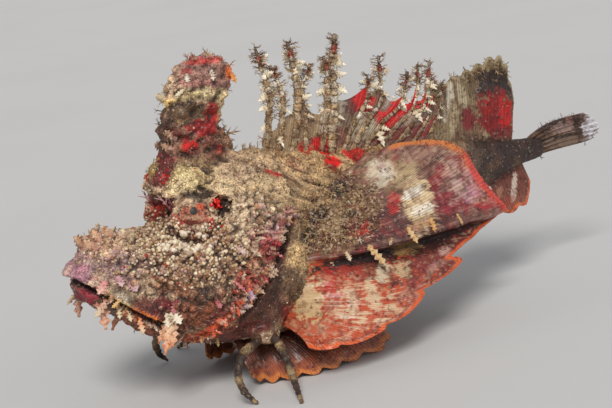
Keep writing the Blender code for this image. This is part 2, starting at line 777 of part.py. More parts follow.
def make_caudal_fin():
    def middle(u, v):
        ends = [[value for end in ray for value in end] for ray in CAUDAL]
        x0, z0, x1, z1 = spline([0, 0.5, 1], ends, u)
        lift = 1.6 * math.sin(math.pi * v) * (1 - u)
        return Vector((x0 + (x1 - x0) * v, 0.8 * math.sin(6 * v), z0 + (z1 - z0) * v + lift))

    fin = sheet("caudal_fin", middle, rayed(CAUDAL_RAYS, 0.6, 1.3), 2 * CAUDAL_RAYS, 6)
    combine(fin, [frond(root, lead, (1, 0, 0), 3.4, 0.9) for root, lead in CAUDAL_CIRRI], "UNION")
    combine(fin, [trunk_core(GAP)], "DIFFERENCE")
    return finish_node(fin, "caudal_fin", (0.45, 0.33, 0.25), 0.7)


def make_anal_fin():
    def middle(u, v):
        base, tip_x, tip_z = spline([0, 0.3, 0.6, 0.85, 1], ANAL, u)
        root = Vector((base, 0, belly_height(base) + 2.5))
        reach = scalloped(u, v, ANAL_RAYS, 0.12)
        return root.lerp(Vector((tip_x, -0.8 * math.sin(math.pi * u), tip_z)), reach)

    fin = sheet("anal_fin", middle, rayed(ANAL_RAYS, 0.4, 0.8), 2 * ANAL_RAYS, 4)
    combine(fin, [trunk_core(GAP)], "DIFFERENCE")
    return finish_node(fin, "anal_fin", (0.35, 0.10, 0.05), 0.7)


# The pectoral fins: a fan folded along one ray, its lower half flared out

# Each row is one ray of the fan: its share of the way down, then root, bend and tip.
PECTORAL_RAYS = (
    (0.00, (66, 15, 42.0), (72, 20, 50.0), (86, 12.5, 54.0)),
    (0.08, (66, 15, 40.5), (76, 22, 50.0), (97, 12.5, 57.6)),
    (0.16, (65, 15, 39.0), (80, 24, 48.0), (110, 13.0, 57.6)),
    (0.24, (64, 15, 37.5), (84, 26, 45.0), (120.5, 13.0, 55.6)),
    (0.32, (63, 15, 36.0), (86, 28, 41.0), (127.5, 13.5, 50.2)),
    (0.40, (62, 15, 34.5), (88, 30, 36.0), (132, 15.5, 39.5)),
    (0.46, (62, 15, 33.0), (90, 33, 32.4), (144, 17.0, 32.2)),
    (0.52, (61, 15, 31.0), (88, 26, 29.0), (140, 15.5, 29.6)),
    (0.60, (60, 15, 28.0), (84, 32, 26.0), (121, 23.0, 26.4)),
    (0.68, (59, 15, 25.0), (80, 34, 22.0), (111, 28.0, 21.8)),
    (0.76, (58, 15, 22.0), (76, 35, 18.0), (97, 32.0, 17.6)),
    (0.84, (57, 15, 20.0), (71, 35, 15.0), (84, 35.0, 12.6)),
    (0.92, (56, 15, 18.0), (64, 32, 13.5), (68, 34.0, 9.6)),
    (1.00, (55.5, 15, 16.0), (58, 25, 14.0), (57, 29.0, 9.8)),
)


PECTORAL_RAY_COUNT = 14
UPPER_SCALLOPS = 0.015
LOWER_SCALLOPS = 0.07


def ray_place(ray, v, side):
    """A place on a ray that curves from its root, past its bend, to its tip."""
    root, bend, tip = Vector(ray[0:3]), Vector(ray[3:6]), Vector(ray[6:9])
    place = root.lerp(bend, v).lerp(bend.lerp(tip, v), v)
    return Vector(mirrored(place, side))


# Cirri hanging from the fold of the fan: place along the fish and height.
FOLD_CIRRI = ((84, 33.6), (100, 33.4), (108, 33.2))


def make_pectoral_fins():
    keys = [row[0] for row in PECTORAL_RAYS]
    values = [[value for point in row[1:] for value in point] for row in PECTORAL_RAYS]
    for name, side in SIDES:
        def middle(u, v):
            depth = LOWER_SCALLOPS if u > 0.5 else UPPER_SCALLOPS
            return ray_place(spline(keys, values, u), scalloped(u, v, PECTORAL_RAY_COUNT, depth), side)

        fin = sheet(
            "pectoral", middle, rayed(PECTORAL_RAY_COUNT, 0.45, 0.9), 2 * PECTORAL_RAY_COUNT, 6)
        surface = Surface(fin)
        growths = []
        for x, z in FOLD_CIRRI:
            place, normal = surface.from_side(x, z, side)
            growths.append(frond(place, (0.2, 0.5 * side, -1), (1, 0, 0), 5.0, 1.3))
        combine(fin, growths, "UNION")
        combine(fin, [trunk_core(GAP)], "DIFFERENCE")
        finish_node(fin, "pectoral_fin_" + name, (0.45, 0.20, 0.14), 0.7)


# The walking rays: two free rays below each pectoral fin

WALKING_RAYS = (
    ((48, 15, 15), (45.0, 20.5, 14.6), (38.5, 24.5, 13.4), (34.6, 27.5, 9.0), (35.2, 29.0, 4.0), (38.0, 29.6, -0.6)),
    ((51, 15, 14), (50.6, 20.5, 14.0), (50.4, 25.0, 11.4), (49.4, 30.0, 7.4), (48.0, 35.0, 3.0), (46.4, 40.0, -0.6)),
)
WALKING_RADII = (2.0, 1.9, 1.7, 1.6, 1.3, 0.8)


def floor_block():
    return prism("below_floor", ((-30, 0), (230, 0), (230, -20), (-30, -20)))


def make_walking_rays():
    for name, side in SIDES:
        for number, points in enumerate(WALKING_RAYS, 1):
            ray = tube("ray", [mirrored(point, side) for point in points], WALKING_RADII)
            combine(ray, [trunk_core(GAP)], "DIFFERENCE")
            combine(ray, [floor_block()], "DIFFERENCE")
            finish_node(ray, f"walking_ray_{number}_{name}", (0.30, 0.22, 0.12), 0.7)


# The pelvic fins, spread under the belly and resting on their margins

PELVIC_ROWS = (
    (0.0, (44, 6, 14), (43, 13, 9), (45, 15, 1.6)),
    (0.2, (48, 6, 13), (49, 17, 9), (50, 17.5, -0.4)),
    (0.45, (56, 6, 12), (58, 20, 9), (62, 22, -0.4)),
    (0.7, (65, 6, 12), (70, 20, 9), (76, 21, -0.4)),
    (0.88, (72, 6, 12), (80, 15, 10), (90, 17, -0.4)),
    (1.0, (76, 4, 12), (84, 8, 10), (94, 10, 3.0)),
)


PELVIC_RAY_COUNT = 8


def make_pelvic_fins():
    keys = [row[0] for row in PELVIC_ROWS]
    values = [[value for point in row[1:] for value in point] for row in PELVIC_ROWS]
    for name, side in SIDES:
        def middle(u, v):
            return ray_place(spline(keys, values, u), scalloped(u, v, PELVIC_RAY_COUNT, 0.08), side)

        fin = sheet("pelvic", middle, rayed(PELVIC_RAY_COUNT, 0.5, 0.95), 2 * PELVIC_RAY_COUNT, 5)
        combine(fin, [trunk_core(GAP)], "DIFFERENCE")
        combine(fin, [floor_block()], "DIFFERENCE")
        finish_node(fin, "pelvic_fin_" + name, (0.55, 0.16, 0.04), 0.7)


make_head()
make_lower_jaw()
make_eyes()
make_trunk()
make_tail()
make_dorsal_front()
make_dorsal_spines()
make_soft_dorsal()
make_caudal_fin()
make_anal_fin()
make_pectoral_fins()
make_walking_rays()
make_pelvic_fins()
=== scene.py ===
import math
import random

import bpy
import numpy as np
from mathutils import Euler, Matrix, Vector, noise
from mathutils.bvhtree import BVHTree


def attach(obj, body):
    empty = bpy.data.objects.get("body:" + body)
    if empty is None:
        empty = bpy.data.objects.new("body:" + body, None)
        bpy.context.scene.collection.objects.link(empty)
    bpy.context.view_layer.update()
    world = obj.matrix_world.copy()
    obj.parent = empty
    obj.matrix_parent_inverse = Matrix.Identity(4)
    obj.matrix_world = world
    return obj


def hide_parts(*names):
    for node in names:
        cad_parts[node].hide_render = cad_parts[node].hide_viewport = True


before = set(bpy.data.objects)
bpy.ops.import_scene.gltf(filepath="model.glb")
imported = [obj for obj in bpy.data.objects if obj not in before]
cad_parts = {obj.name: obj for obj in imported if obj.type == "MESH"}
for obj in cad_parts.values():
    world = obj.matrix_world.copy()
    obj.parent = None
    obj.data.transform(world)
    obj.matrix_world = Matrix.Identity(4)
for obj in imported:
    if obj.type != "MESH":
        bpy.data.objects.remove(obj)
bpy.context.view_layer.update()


# The camera, the studio light and the floor
# The camera stands low on the fish's left, a little ahead of it, and leans to one side as it
# did in the photograph. Places are in the fish's own millimetres: x runs back from the tip
# of its snout, y to its right and z up from the floor.

MM = 0.001
FISH_LENGTH = 190.0
PICTURE_WIDTH = 612
PICTURE_HEIGHT = 408
SENSOR_WIDTH = 36
FOCUS = 1612.0
STAND_OFF = 480.0
AIM = np.array((78.0, 0.0, 44.4))
VIEW_TURN = math.radians(-28)
VIEW_RISE = math.radians(12)
VIEW_LEAN = math.radians(8.5)

BACKWARD = np.array((
    math.sin(VIEW_TURN) * math.cos(VIEW_RISE),
    -math.cos(VIEW_TURN) * math.cos(VIEW_RISE),
    math.sin(VIEW_RISE)))
LEVEL = np.array((math.cos(VIEW_TURN), math.sin(VIEW_TURN), 0.0))
STEEP = np.cross(BACKWARD, LEVEL)
RIGHTWARD = LEVEL * math.cos(VIEW_LEAN) - STEEP * math.sin(VIEW_LEAN)
UPWARD = LEVEL * math.sin(VIEW_LEAN) + STEEP * math.cos(VIEW_LEAN)
VIEWPOINT = AIM + BACKWARD * STAND_OFF


def in_model(places):
    """Places of the fish in millimetres, as metres in the model's frame."""
    return (np.asarray(places, float) - (FISH_LENGTH / 2, 0, 0)) * MM


camera = bpy.data.objects.new("camera", bpy.data.cameras.new("camera"))
camera.matrix_world = Matrix((RIGHTWARD, UPWARD, BACKWARD)).transposed().to_4x4()
camera.location = in_model(VIEWPOINT)
camera.data.sensor_width = SENSOR_WIDTH
camera.data.lens = SENSOR_WIDTH * FOCUS / PICTURE_WIDTH
camera.data.clip_start = 0.01
bpy.context.scene.collection.objects.link(camera)
bpy.context.scene.camera = camera
bpy.context.scene.view_settings.view_transform = "Standard"


def studio_light(name, place, softness, strength, colour):
    """A wide soft light that shines on the fish from the direction of a place."""
    lamp = bpy.data.lights.new(name, "SUN")
    lamp.angle = math.radians(softness)
    lamp.energy = strength
    lamp.color = colour
    light = bpy.data.objects.new(name, lamp)
    light.location = in_model(place)
    aim = Vector(in_model(AIM)) - light.location
    light.rotation_euler = aim.to_track_quat("-Z", "Y").to_euler()
    bpy.context.scene.collection.objects.link(light)


studio_light("key_light", (-120, -330, 420), 20, 2.25, (1.0, 0.97, 0.93))
studio_light("fill_light", (330, -420, 160), 40, 0.4, (0.95, 0.97, 1.0))

world = bpy.data.worlds.new("studio")
world.use_nodes = True
sky = world.node_tree.nodes["Background"]
sky.inputs["Color"].default_value = (0.96, 0.97, 1.0, 1)
sky.inputs["Strength"].default_value = 0.36
bpy.context.scene.world = world


class Wire:
    """A socket of a material. Sums on wires add Math nodes, and node() adds any other."""

    def __init__(self, material, socket=None):
        self.material = material
        self.tree = material.node_tree
        self.socket = socket

    def node(self, kind, inputs=None, output=0, **settings):
        made = self.tree.nodes.new("ShaderNode" + kind)
        for name, value in settings.items():
            setattr(made, name, value)
        for key, value in (inputs or {}).items():
            if isinstance(value, Wire):
                self.tree.links.new(value.socket, made.inputs[key])
            else:
                made.inputs[key].default_value = value
        return Wire(self.material, made.outputs[output])

    def maths(self, operation, one, two=0.0):
        return self.node("Math", {0: one, 1: two}, operation=operation)

    def __add__(self, other):
        return self.maths("ADD", self, other)

    def __sub__(self, other):
        return self.maths("SUBTRACT", self, other)

    def __rsub__(self, other):
        return self.maths("SUBTRACT", other, self)

    def __mul__(self, other):
        return self.maths("MULTIPLY", self, other)

    def ramp(self, low, high):
        """0 below low, 1 above high, and smooth between."""
        return self.node("MapRange", {0: self, 1: low, 2: high}, interpolation_type="SMOOTHSTEP")

    def mix(self, one, two):
        """One colour where this wire is 0, another where it is 1."""
        return self.node("Mix", {0: self, 6: one, 7: two}, 2, data_type="RGBA")

    def times(self, colour, other):
        """A colour multiplied by another as far as this wire is 1."""
        return self.node(
            "Mix", {0: self, 6: colour, 7: other}, 2, data_type="RGBA", blend_type="MULTIPLY")

    def paint(self):
        """The colours painted on the piece itself."""
        return self.node("Attribute", output="Color", attribute_name="paint")

    def cloud(self, scale, detail, roughness=0.5):
        """Soft random clouds over the places of this wire."""
        return self.node(
            "TexNoise", {"Vector": self, "Scale": scale, "Detail": detail, "Roughness": roughness})

    def cells(self, scale, output="Distance"):
        """Random cells over the places of this wire: how far from the middle of each, or its colour."""
        return self.node("TexVoronoi", {"Vector": self, "Scale": scale}, output)

    def part(self, name):
        """The red, green or blue part of a colour."""
        return self.node("SeparateColor", {0: self}, name)

    def bump(self, strength, distance):
        return self.node("Bump", {"Height": self, "Strength": strength, "Distance": distance})


def new_finish(name):
    """A new material, as the wire of the place that is shaded in it."""
    material = bpy.data.materials.new(name)
    material.use_nodes = True
    material.node_tree.nodes.clear()
    return Wire(material).node("TexCoord", output="Object")


def close_finish(wire, sockets):
    """End a material in a Principled BSDF with these sockets, and hand it over."""
    shader = wire.node("BsdfPrincipled", sockets)
    output = wire.tree.nodes.new("ShaderNodeOutputMaterial")
    wire.tree.links.new(shader.socket, output.inputs["Surface"])
    return wire.material


def floor_finish():
    cloud = new_finish("pale_floor").cloud(6.0, 3.0)
    tone = cloud.ramp(0.35, 0.65).mix((0.625, 0.625, 0.622, 1), (0.64, 0.64, 0.636, 1))
    return close_finish(cloud, {"Base Color": tone, "Roughness": 0.75})


bpy.ops.mesh.primitive_plane_add(size=8, location=(0, 1.5, 0))
floor = bpy.context.object
floor.name = "floor"
floor.data.materials.append(floor_finish())


# The skin of the head, trunk, tail and first dorsal column
# Bare, scaleless skin over firm flesh, in one piece. It is melted together from rounded
# masses, grooved at the mouth, sunk round the eyes and worked over with folds and lumps.

COARSE_VOXEL = 0.8
FINE_VOXEL = 0.56
BELLY_ROUNDNESS = 2.3
SMOOTHING_ROUNDS = 14
# Place along the fish, height of the back, height of the belly, half width, widest level.
TRUNK_ROWS = (
    (26, 46, 17.5, 13, 27),
    (34, 51, 14.6, 15.5, 28),
    (42, 57, 12, 17, 29),
    (52, 61.5, 9.8, 17.8, 30),
    (62, 63.8, 8.8, 17.5, 31),
    (75, 61.3, 9.6, 16, 33),
    (88, 58.8, 12.8, 13.5, 35),
    (102, 56.8, 18, 10.8, 37),
    (118, 54.6, 25, 8.2, 40),
    (134, 52, 32, 6, 42),
    (148, 49.2, 37, 4.4, 43.4),
    (157, 47.4, 39.2, 3.4, 43.4),
    (163, 46.7, 39.6, 3, 43.2),
    (166, 46.3, 40, 2.4, 43.2),
)
HEAD_ROWS = (
    (2, 42, 37.4, 2.8, 39.8),
    (4.5, 45.4, 35, 6.8, 39.4),
    (9, 48.8, 30.6, 10.6, 38),
    (14, 50, 25.8, 13.6, 36),
    (20, 50.4, 20.4, 16, 34),
    (28, 49.8, 16.2, 18.2, 32),
    (34, 51.6, 14, 19.4, 31),
    (40, 58.2, 12.4, 20.2, 31),
    (47, 62.2, 10.8, 20.6, 31),
    (56, 64.2, 9.6, 20.2, 32),
    (66, 64.4, 9, 19, 33),
)
# Height, front edge, rear edge and half width of the first dorsal column.
COLUMN_ROWS = (
    (52, 33, 57, 4),
    (60, 30.6, 58.6, 4.4),
    (65, 31.6, 58.2, 4.6),
    (70, 34.2, 55.6, 4.6),
    (76, 35, 54.6, 4.4),
    (81, 36.6, 57, 4.2),
    (86, 38.4, 61, 4.4),
    (90, 40.6, 60.4, 4.2),
    (93, 44.6, 58.2, 3),
)
GILL_LINE = (
    (62.5, 80), (63.6, 52), (62, 45.6), (56.5, 38.2), (48.2, 28.7), (40.2, 20.9), (30, 15), (22, 2))
MOUTH_LINE = (
    (-6, 43.5), (1.6, 40.2), (5.4, 37.2), (9.4, 33.4), (13.6, 29.4), (18.4, 26), (23.4, 23.8))
EYE_CENTRE = np.array((37.0, 9.8, 52.0))
EYE_RADIUS = 5.1
EYE_AXIS = np.array((-0.34, 0.86, 0.40))
EYE_AXIS /= np.linalg.norm(EYE_AXIS)
SIDES = (("left", -1), ("right", 1))


def in_fish(places):
    return np.asarray(places, float) / MM + (FISH_LENGTH / 2, 0, 0)


def on_right(points):
    """Places of both sides of the fish, all brought to its right."""
    return np.column_stack((points[:, 0], np.abs(points[:, 1]), points[:, 2]))


def seen_at(points):
    """Where places show in the photograph, in its pixels. Both sides of the fish are marked alike."""
    offset = on_right(points) * (1, -1, 1) - VIEWPOINT
    scale = FOCUS / -(offset @ BACKWARD)
    across, up = scale * (offset @ RIGHTWARD), scale * (offset @ UPWARD)
    return PICTURE_WIDTH / 2 + across, PICTURE_HEIGHT / 2 - up


def step(values, low, high):
    """0 below low, 1 above high, and smooth between; the other way round where low is above high."""
    t = np.clip((values - low) / (high - low), 0, 1)
    return t * t * (3 - 2 * t)


def zone(x, y, wide, high):
    """How far inside an ellipse of the photograph places are, from 0 to 1, on both sides of the fish."""
    def inside(points):
        seen_x, seen_y = seen_at(points)
        return step(np.hypot((seen_x - x) / wide, (seen_y - y) / high), 1.1, 0.7)
    return inside


def alone(thing):
    """Select one piece only, and make it the active one."""
    bpy.ops.object.select_all(action="DESELECT")
    thing.select_set(True)
    bpy.context.view_layer.objects.active = thing


def worked(thing, kind, **settings):
    """Give a piece a modifier with these settings, and apply it."""
    alone(thing)
    modifier = thing.modifiers.new(kind, kind)
    for name, value in settings.items():
        setattr(modifier, name, value)
    bpy.ops.object.modifier_apply(modifier=modifier.name)
    return thing


def joined(name, things):
    alone(things[0])
    for thing in things:
        thing.select_set(True)
    bpy.ops.object.join()
    things[0].name = name
    things[0].data.name = name
    return things[0]


def curve(keys, values, at):
    """Read a smooth curve through rows of values at many places."""
    keys = np.asarray(keys, float)
    values = np.asarray(values, float)
    slopes = np.gradient(values, keys, axis=0)
    i = np.clip(np.searchsorted(keys, at) - 1, 0, len(keys) - 2)
    span = (keys[i + 1] - keys[i])[:, None]
    t = np.clip((at - keys[i])[:, None] / span, 0, 1)
    start = (1 + 2 * t) * (1 - t) ** 2 * values[i] + t * (1 - t) ** 2 * span * slopes[i]
    end = t * t * (3 - 2 * t) * values[i + 1] + t * t * (t - 1) * span * slopes[i + 1]
    return start + end


def read_rows(rows, at):
    """Read a smooth curve through each column of a table, whose first column is the place."""
    return curve([row[0] for row in rows], [row[1:] for row in rows], at).T


def vertex_rows(thing, key="co"):
    flat = np.empty(len(thing.data.vertices) * 3)
    thing.data.vertices.foreach_get(key, flat)
    return flat.reshape(-1, 3)


def places_of(thing):
    """Where the vertices of a piece lie, in the fish's millimetres."""
    return in_fish(vertex_rows(thing))


def move_to(thing, points):
    """Put the vertices of a piece at these places of the fish."""
    thing.data.vertices.foreach_set("co", in_model(points).ravel())


def shaped_grid(name, columns, rows, place):
    """A flat grid moved to place(u, v), where u and v run from 0 to 1 across it."""
    bpy.ops.object.select_all(action="DESELECT")
    bpy.ops.mesh.primitive_grid_add(x_subdivisions=columns, y_subdivisions=rows, size=1)
    thing = bpy.context.object
    thing.name = name
    thing.data.name = name
    u, v, _ = (vertex_rows(thing) + 0.5).T
    for key, values in (("u", u), ("v", v)):
        thing.data.attributes.new(key, "FLOAT", "POINT").data.foreach_set("value", values.copy())
    move_to(thing, place(u, v))
    thing.data.update()
    return thing


def rolled(name, columns, rows, place):
    """A grid rolled into a closed body: u runs round it and v from end to end."""
    thing = shaped_grid(name, columns, rows, place)
    bpy.ops.object.mode_set(mode="EDIT")
    bpy.ops.mesh.select_all(action="SELECT")
    bpy.ops.mesh.remove_doubles(threshold=1e-6)
    bpy.ops.mesh.fill_holes(sides=0)
    bpy.ops.mesh.normals_make_consistent(inside=False)
    bpy.ops.object.mode_set(mode="OBJECT")
    return thing


def signed_power(value, power):
    return np.sign(value) * np.abs(value) ** power


def body_ring(rows, back_roundness):
    def place(u, v):
        x = rows[0][0] + (rows[-1][0] - rows[0][0]) * v
        back, belly, half, level = read_rows(rows, x)
        across, up = np.cos(2 * np.pi * u), np.sin(2 * np.pi * u)
        power = np.where(up > 0, 2 / back_roundness, 2 / BELLY_ROUNDNESS)
        reach = np.where(up > 0, back - level, level - belly)
        return np.column_stack((
            x, half * signed_power(across, power), level + reach * signed_power(up, power)))
    return place


def column_ring(u, v):
    z = COLUMN_ROWS[0][0] + (COLUMN_ROWS[-1][0] - COLUMN_ROWS[0][0]) * v
    front, rear, half = read_rows(COLUMN_ROWS, z)
    x = (front + rear) / 2 + (rear - front) / 2 * signed_power(np.cos(2 * np.pi * u), 0.85)
    return np.column_stack((x, half * np.sin(2 * np.pi * u), z))


def unit(rows):
    """The same directions, each of length 1."""
    return rows / np.maximum(np.linalg.norm(rows, axis=1), 1e-9)[:, None]


def limb_ring(points, radii, reference=(0, 0, 1)):
    """The rings of a round limb along a curve through its points."""
    keys = np.arange(len(points))
    radii = np.asarray(radii, float)[:, None]

    def place(u, v):
        t = v * keys[-1]
        before, after = np.maximum(t - 0.02, 0), np.minimum(t + 0.02, keys[-1])
        ahead = unit(curve(keys, points, after) - curve(keys, points, before))
        side = unit(np.cross(ahead, np.array(reference, float)))
        top = np.cross(side, ahead)
        angle = 2 * np.pi * u[:, None]
        spoke = np.cos(angle) * side + np.sin(angle) * top
        return curve(keys, points, t) + spoke * curve(keys, radii, t)
    return place


def on_side(place, side):
    """The same place on the fish's right, where side is 1, or on its left."""
    return np.array(place, float) * (1, side, 1)


def ball(centre, radii, tilt=(0, 0, 0)):
    bpy.ops.object.select_all(action="DESELECT")
    bpy.ops.mesh.primitive_uv_sphere_add(
        segments=28, ring_count=18, radius=1, location=in_model(centre),
        rotation=[math.radians(a) for a in tilt], scale=np.array(radii) * MM)
    return bpy.context.object


# Masses on both sides: centre, radii and tilt, for the fish's right.
PAIRED_MASSES = (
    ((12.5, 7.2, 46.6), (5, 3.6, 3.8), (0, 0, 0)),
    ((13.2, 12.4, 32.6), (9.6, 2.2, 4.2), (0, 42, 26)),
    ((24.5, 13.6, 38.5), (12, 4.2, 4.2), (0, 8, 14)),
    ((35.5, 15.4, 28.5), (12, 6.2, 9), (0, 20, 8)), ((37, 8.4, 51.2), (6.6, 6, 6.3), (0, 0, 0)),
    ((37, 6.2, 60.6), (7.4, 5.2, 4.8), (0, -12, 0)),
    ((49, 13.6, 36.5), (12.5, 8.6, 13), (0, 20, 0)), ((57.5, 14.6, 28), (6.2, 6, 18.5), (0, 28, 0)),
    ((49.5, 17.6, 14.6), (4.6, 3.4, 2.6), (0, 12, 0)), ((6.2, 4.8, 35), (3.3, 2.7, 3), (0, 0, 0)),
    ((4.8, 3.9, 41.8), (3.1, 2.8, 3), (0, 0, 0)), ((20, 12.6, 45), (4.4, 2.6, 2.4), (0, 10, 10)),
    ((28.6, 16.6, 34), (4, 3, 3), (0, 0, 0)), ((42, 18.8, 33), (4.4, 3.4, 3.8), (0, 0, 0)),
)
MIDDLE_MASSES = (
    ((4.8, 0, 42), (4.8, 5.2, 4), (0, 0, 0)), ((51.5, 0, 90.5), (6, 4.4, 4.2), (0, 0, 0)),
    ((43, 0, 86.5), (4.2, 4.2, 3.8), (0, 0, 0)), ((57.6, 0, 86.4), (3.4, 3.2, 3.6), (0, 0, 0)),
    ((39.8, 0, 74.5), (4, 4.8, 4.2), (0, 0, 0)), ((50, 0, 79.5), (6.2, 4.8, 2.8), (0, 0, 0)),
    ((31.4, -0.5, 62.6), (2.2, 4.2, 6.2), (0, 12, 0)), ((51, 0, 70), (5.2, 5, 3.2), (0, 0, 0)),
)
# Hollows: between the eyes, over the snout, the pit behind each eye and each nostril.
HOLLOWS = (
    ((35, 0, 56.2), (6.5, 3.2, 5.6)), ((26, 0, 54), (7.5, 6.5, 4.6)),
    ((45.2, 12.6, 53), (3, 3.4, 2.8)), ((45.2, -12.6, 53), (3, 3.4, 2.8)),
    ((17, 9.6, 47.8), (1.2, 1.8, 1.8)), ((17, -9.6, 47.8), (1.2, 1.8, 1.8)),
)
# Where the skin is smooth, in the photograph's pixels.
BARE_ZONES = (
    (126, 302, 22, 11), (146, 312, 16, 10), (80, 276, 11, 13), (88, 296, 10, 9), (160, 304, 12, 8))
UPPER_LIP = ((20.4, 16.2, 27.4), (14.4, 13.8, 31.4), (8.6, 10.4, 36.6), (4.6, 6.6, 40.2), (2.2, 0, 42))
LOWER_LIP = ((18.6, 14.6, 24.4), (13.4, 12, 28.2), (8.2, 8.8, 33), (4.2, 5.4, 36.8), (2, 0, 38.6))


def lip(name, points, radius):
    whole = [on_side(point, -1) for point in points] + [on_side(point, 1) for point in points[-2::-1]]
    return rolled(name, 10, 60, limb_ring(np.array(whole), [radius] * len(whole)))


def melted(thing, voxel):
    return worked(thing, "REMESH", mode="VOXEL", voxel_size=voxel * MM)


def make_flesh():
    masses = [
        rolled("trunk_mass", 48, 60, body_ring(TRUNK_ROWS, 1.75)),
        rolled("head_mass", 48, 40, body_ring(HEAD_ROWS, 2.15)),
        rolled("column_mass", 32, 30, column_ring),
        lip("upper_lip", UPPER_LIP, 1.2),
        lip("lower_lip", LOWER_LIP, 1.0),
    ]
    masses += [ball(*mass) for mass in MIDDLE_MASSES]
    for _, side in SIDES:
        for centre, radii, (lean, pitch, turn) in PAIRED_MASSES:
            masses.append(ball(on_side(centre, side), radii, (lean * side, pitch, turn * side)))
    skin = melted(joined("skin", masses), COARSE_VOXEL)
    hollow = melted(joined("hollows", [ball(*one) for one in HOLLOWS]), COARSE_VOXEL)
    worked(skin, "BOOLEAN", operation="DIFFERENCE", solver="EXACT", object=hollow)
    bpy.data.objects.remove(hollow, do_unlink=True)
    worked(melted(skin, COARSE_VOXEL), "SMOOTH", factor=0.6, iterations=3)
    return worked(melted(skin, FINE_VOXEL), "SMOOTH", factor=0.5, iterations=2)


def rough(points, size, seed=0.0):
    """Smooth random lumps of about this size in millimetres, from -1 to 1."""
    shift = Vector((seed, seed * 0.7, -seed))
    return np.array([noise.noise(Vector(point) / size + shift) for point in points])


def ridged(points, size, seed):
    """Sharp-edged folds of about this size, from 0 to 1."""
    return 1 - np.abs(rough(points, size, seed)) * 2.2


def clumps(points, size, seed=0.0):
    """Rounded clumps of about this size: 0 in the gaps between them, and a random tint for each."""
    shift = Vector((seed, -seed, seed))
    bent = points + 0.5 * rough(points, 2.0, seed)[:, None]
    found = [noise.voronoi(Vector(point) / size + shift) for point in bent]
    gaps = np.array([two - one for (one, two, _, _), _ in found])
    return gaps, np.array([noise.noise(centres[0] * 7.3) for _, centres in found])


def near(points, centre, radii):
    """1 at the middle of an ellipsoid, 0 from its edge outwards."""
    return step(np.linalg.norm((points - centre) / np.array(radii), axis=1), 1.0, 0.4)


def behind_gill(points):
    """How far a place lies behind the edge of the gill cover, in millimetres."""
    edge_x, edge_z = np.array(GILL_LINE[::-1]).T
    return (points[:, 0] - np.interp(points[:, 2], edge_z, edge_x)) * 0.75


def above_mouth(points):
    """How far a place on the snout lies above the line of the mouth, in millimetres."""
    return (points[:, 2] - np.interp(points[:, 0], *np.array(MOUTH_LINE).T)) * 0.72


def bare(points):
    """1 on the smooth plates of the upper jaw and the knob and blob of the snout, 0 elsewhere."""
    return np.maximum.reduce([zone(*ellipse)(points) for ellipse in BARE_ZONES])


def forehead(points):
    return step(points[:, 2], 54.5, 58) * step(points[:, 0], 28, 34)


def groove(distance, half, floor=0.2):
    """1 along a line and 0 from half a groove's width off it."""
    return step(np.abs(distance), half, floor)


def skin_relief(points):
    """How far the skin stands out: lumps, folds, the mouth, the gill slit and the crease before it."""
    x, y, z = points.T
    behind, above = behind_gill(points), above_mouth(points)
    flank = step(np.abs(y), 6, 10) * step(z, 66, 60)
    head = step(behind, 1, -3) * step(z, 66, 60)
    column = step(z, 62, 68)
    relief = 0.35 * rough(points, 5.0, 3) + 0.28 * rough(points, 2.2, 8)
    relief += head * (0.30 * rough(points, 1.3, 21) + 0.25 * rough(points, 3.2, 5))
    pleats = np.column_stack(((0.85 * x - 0.5 * z) * 0.3, y * 0.5, (0.5 * x + 0.85 * z) * 1.25))
    back = np.maximum(near(points, (52, 0, 62), (26, 22, 12)), near(points, (78, 0, 52), (36, 26, 24)))
    relief += back * (0.95 * ridged(pleats, 3.0, 14) - 0.4)
    folds = 0.75 * ridged(points * (0.6, 0.6, 1.1), 4.0, 31) + 1.0 * rough(points, 2.6, 4) - 1.15
    relief += column * folds
    relief += column * 0.7 * step(clumps(points * (0.5, 0.9, 1.2), 3.6, 7)[0], 0.0, 0.5)
    relief -= flank * 2.4 * groove(behind - 1.0, 1.7, 0.3) * step(z, 52, 44)
    relief += flank * 0.9 * groove(behind + 1.6, 1.6) * step(z, 54, 44)
    crease = x + 0.55 * (z - 36) - 44.5
    preopercle = flank * step(z, 42, 38) * step(z, 17, 21) * head
    relief -= preopercle * 1.1 * groove(crease, 1.2, 0.1)
    relief += preopercle * 0.5 * groove(crease + 2.0, 1.6)
    mouth = step(x, 25, 23)
    relief -= mouth * 2.6 * groove(above, 0.95)
    relief += mouth * 0.5 * groove(above - 1.6, 1.0)
    lumps = head * step(x, 8, 16) * (1 - bare(points)) * (0.45 + 0.55 * step(z, 22, 29))
    lumps = lumps * (1 - 0.75 * forehead(points))
    clumped = 1.35 * step(clumps(points, 2.7, 3)[0], 0.0, 0.5)
    relief += lumps * (0.7 * rough(points, 6.0, 60) + clumped - 0.8)
    tail = step(x, 126, 140)
    relief += tail * 0.25 * ridged(points * (0.3, 1, 1.8), 2.0, 9)
    return relief * (1 - 0.6 * tail)


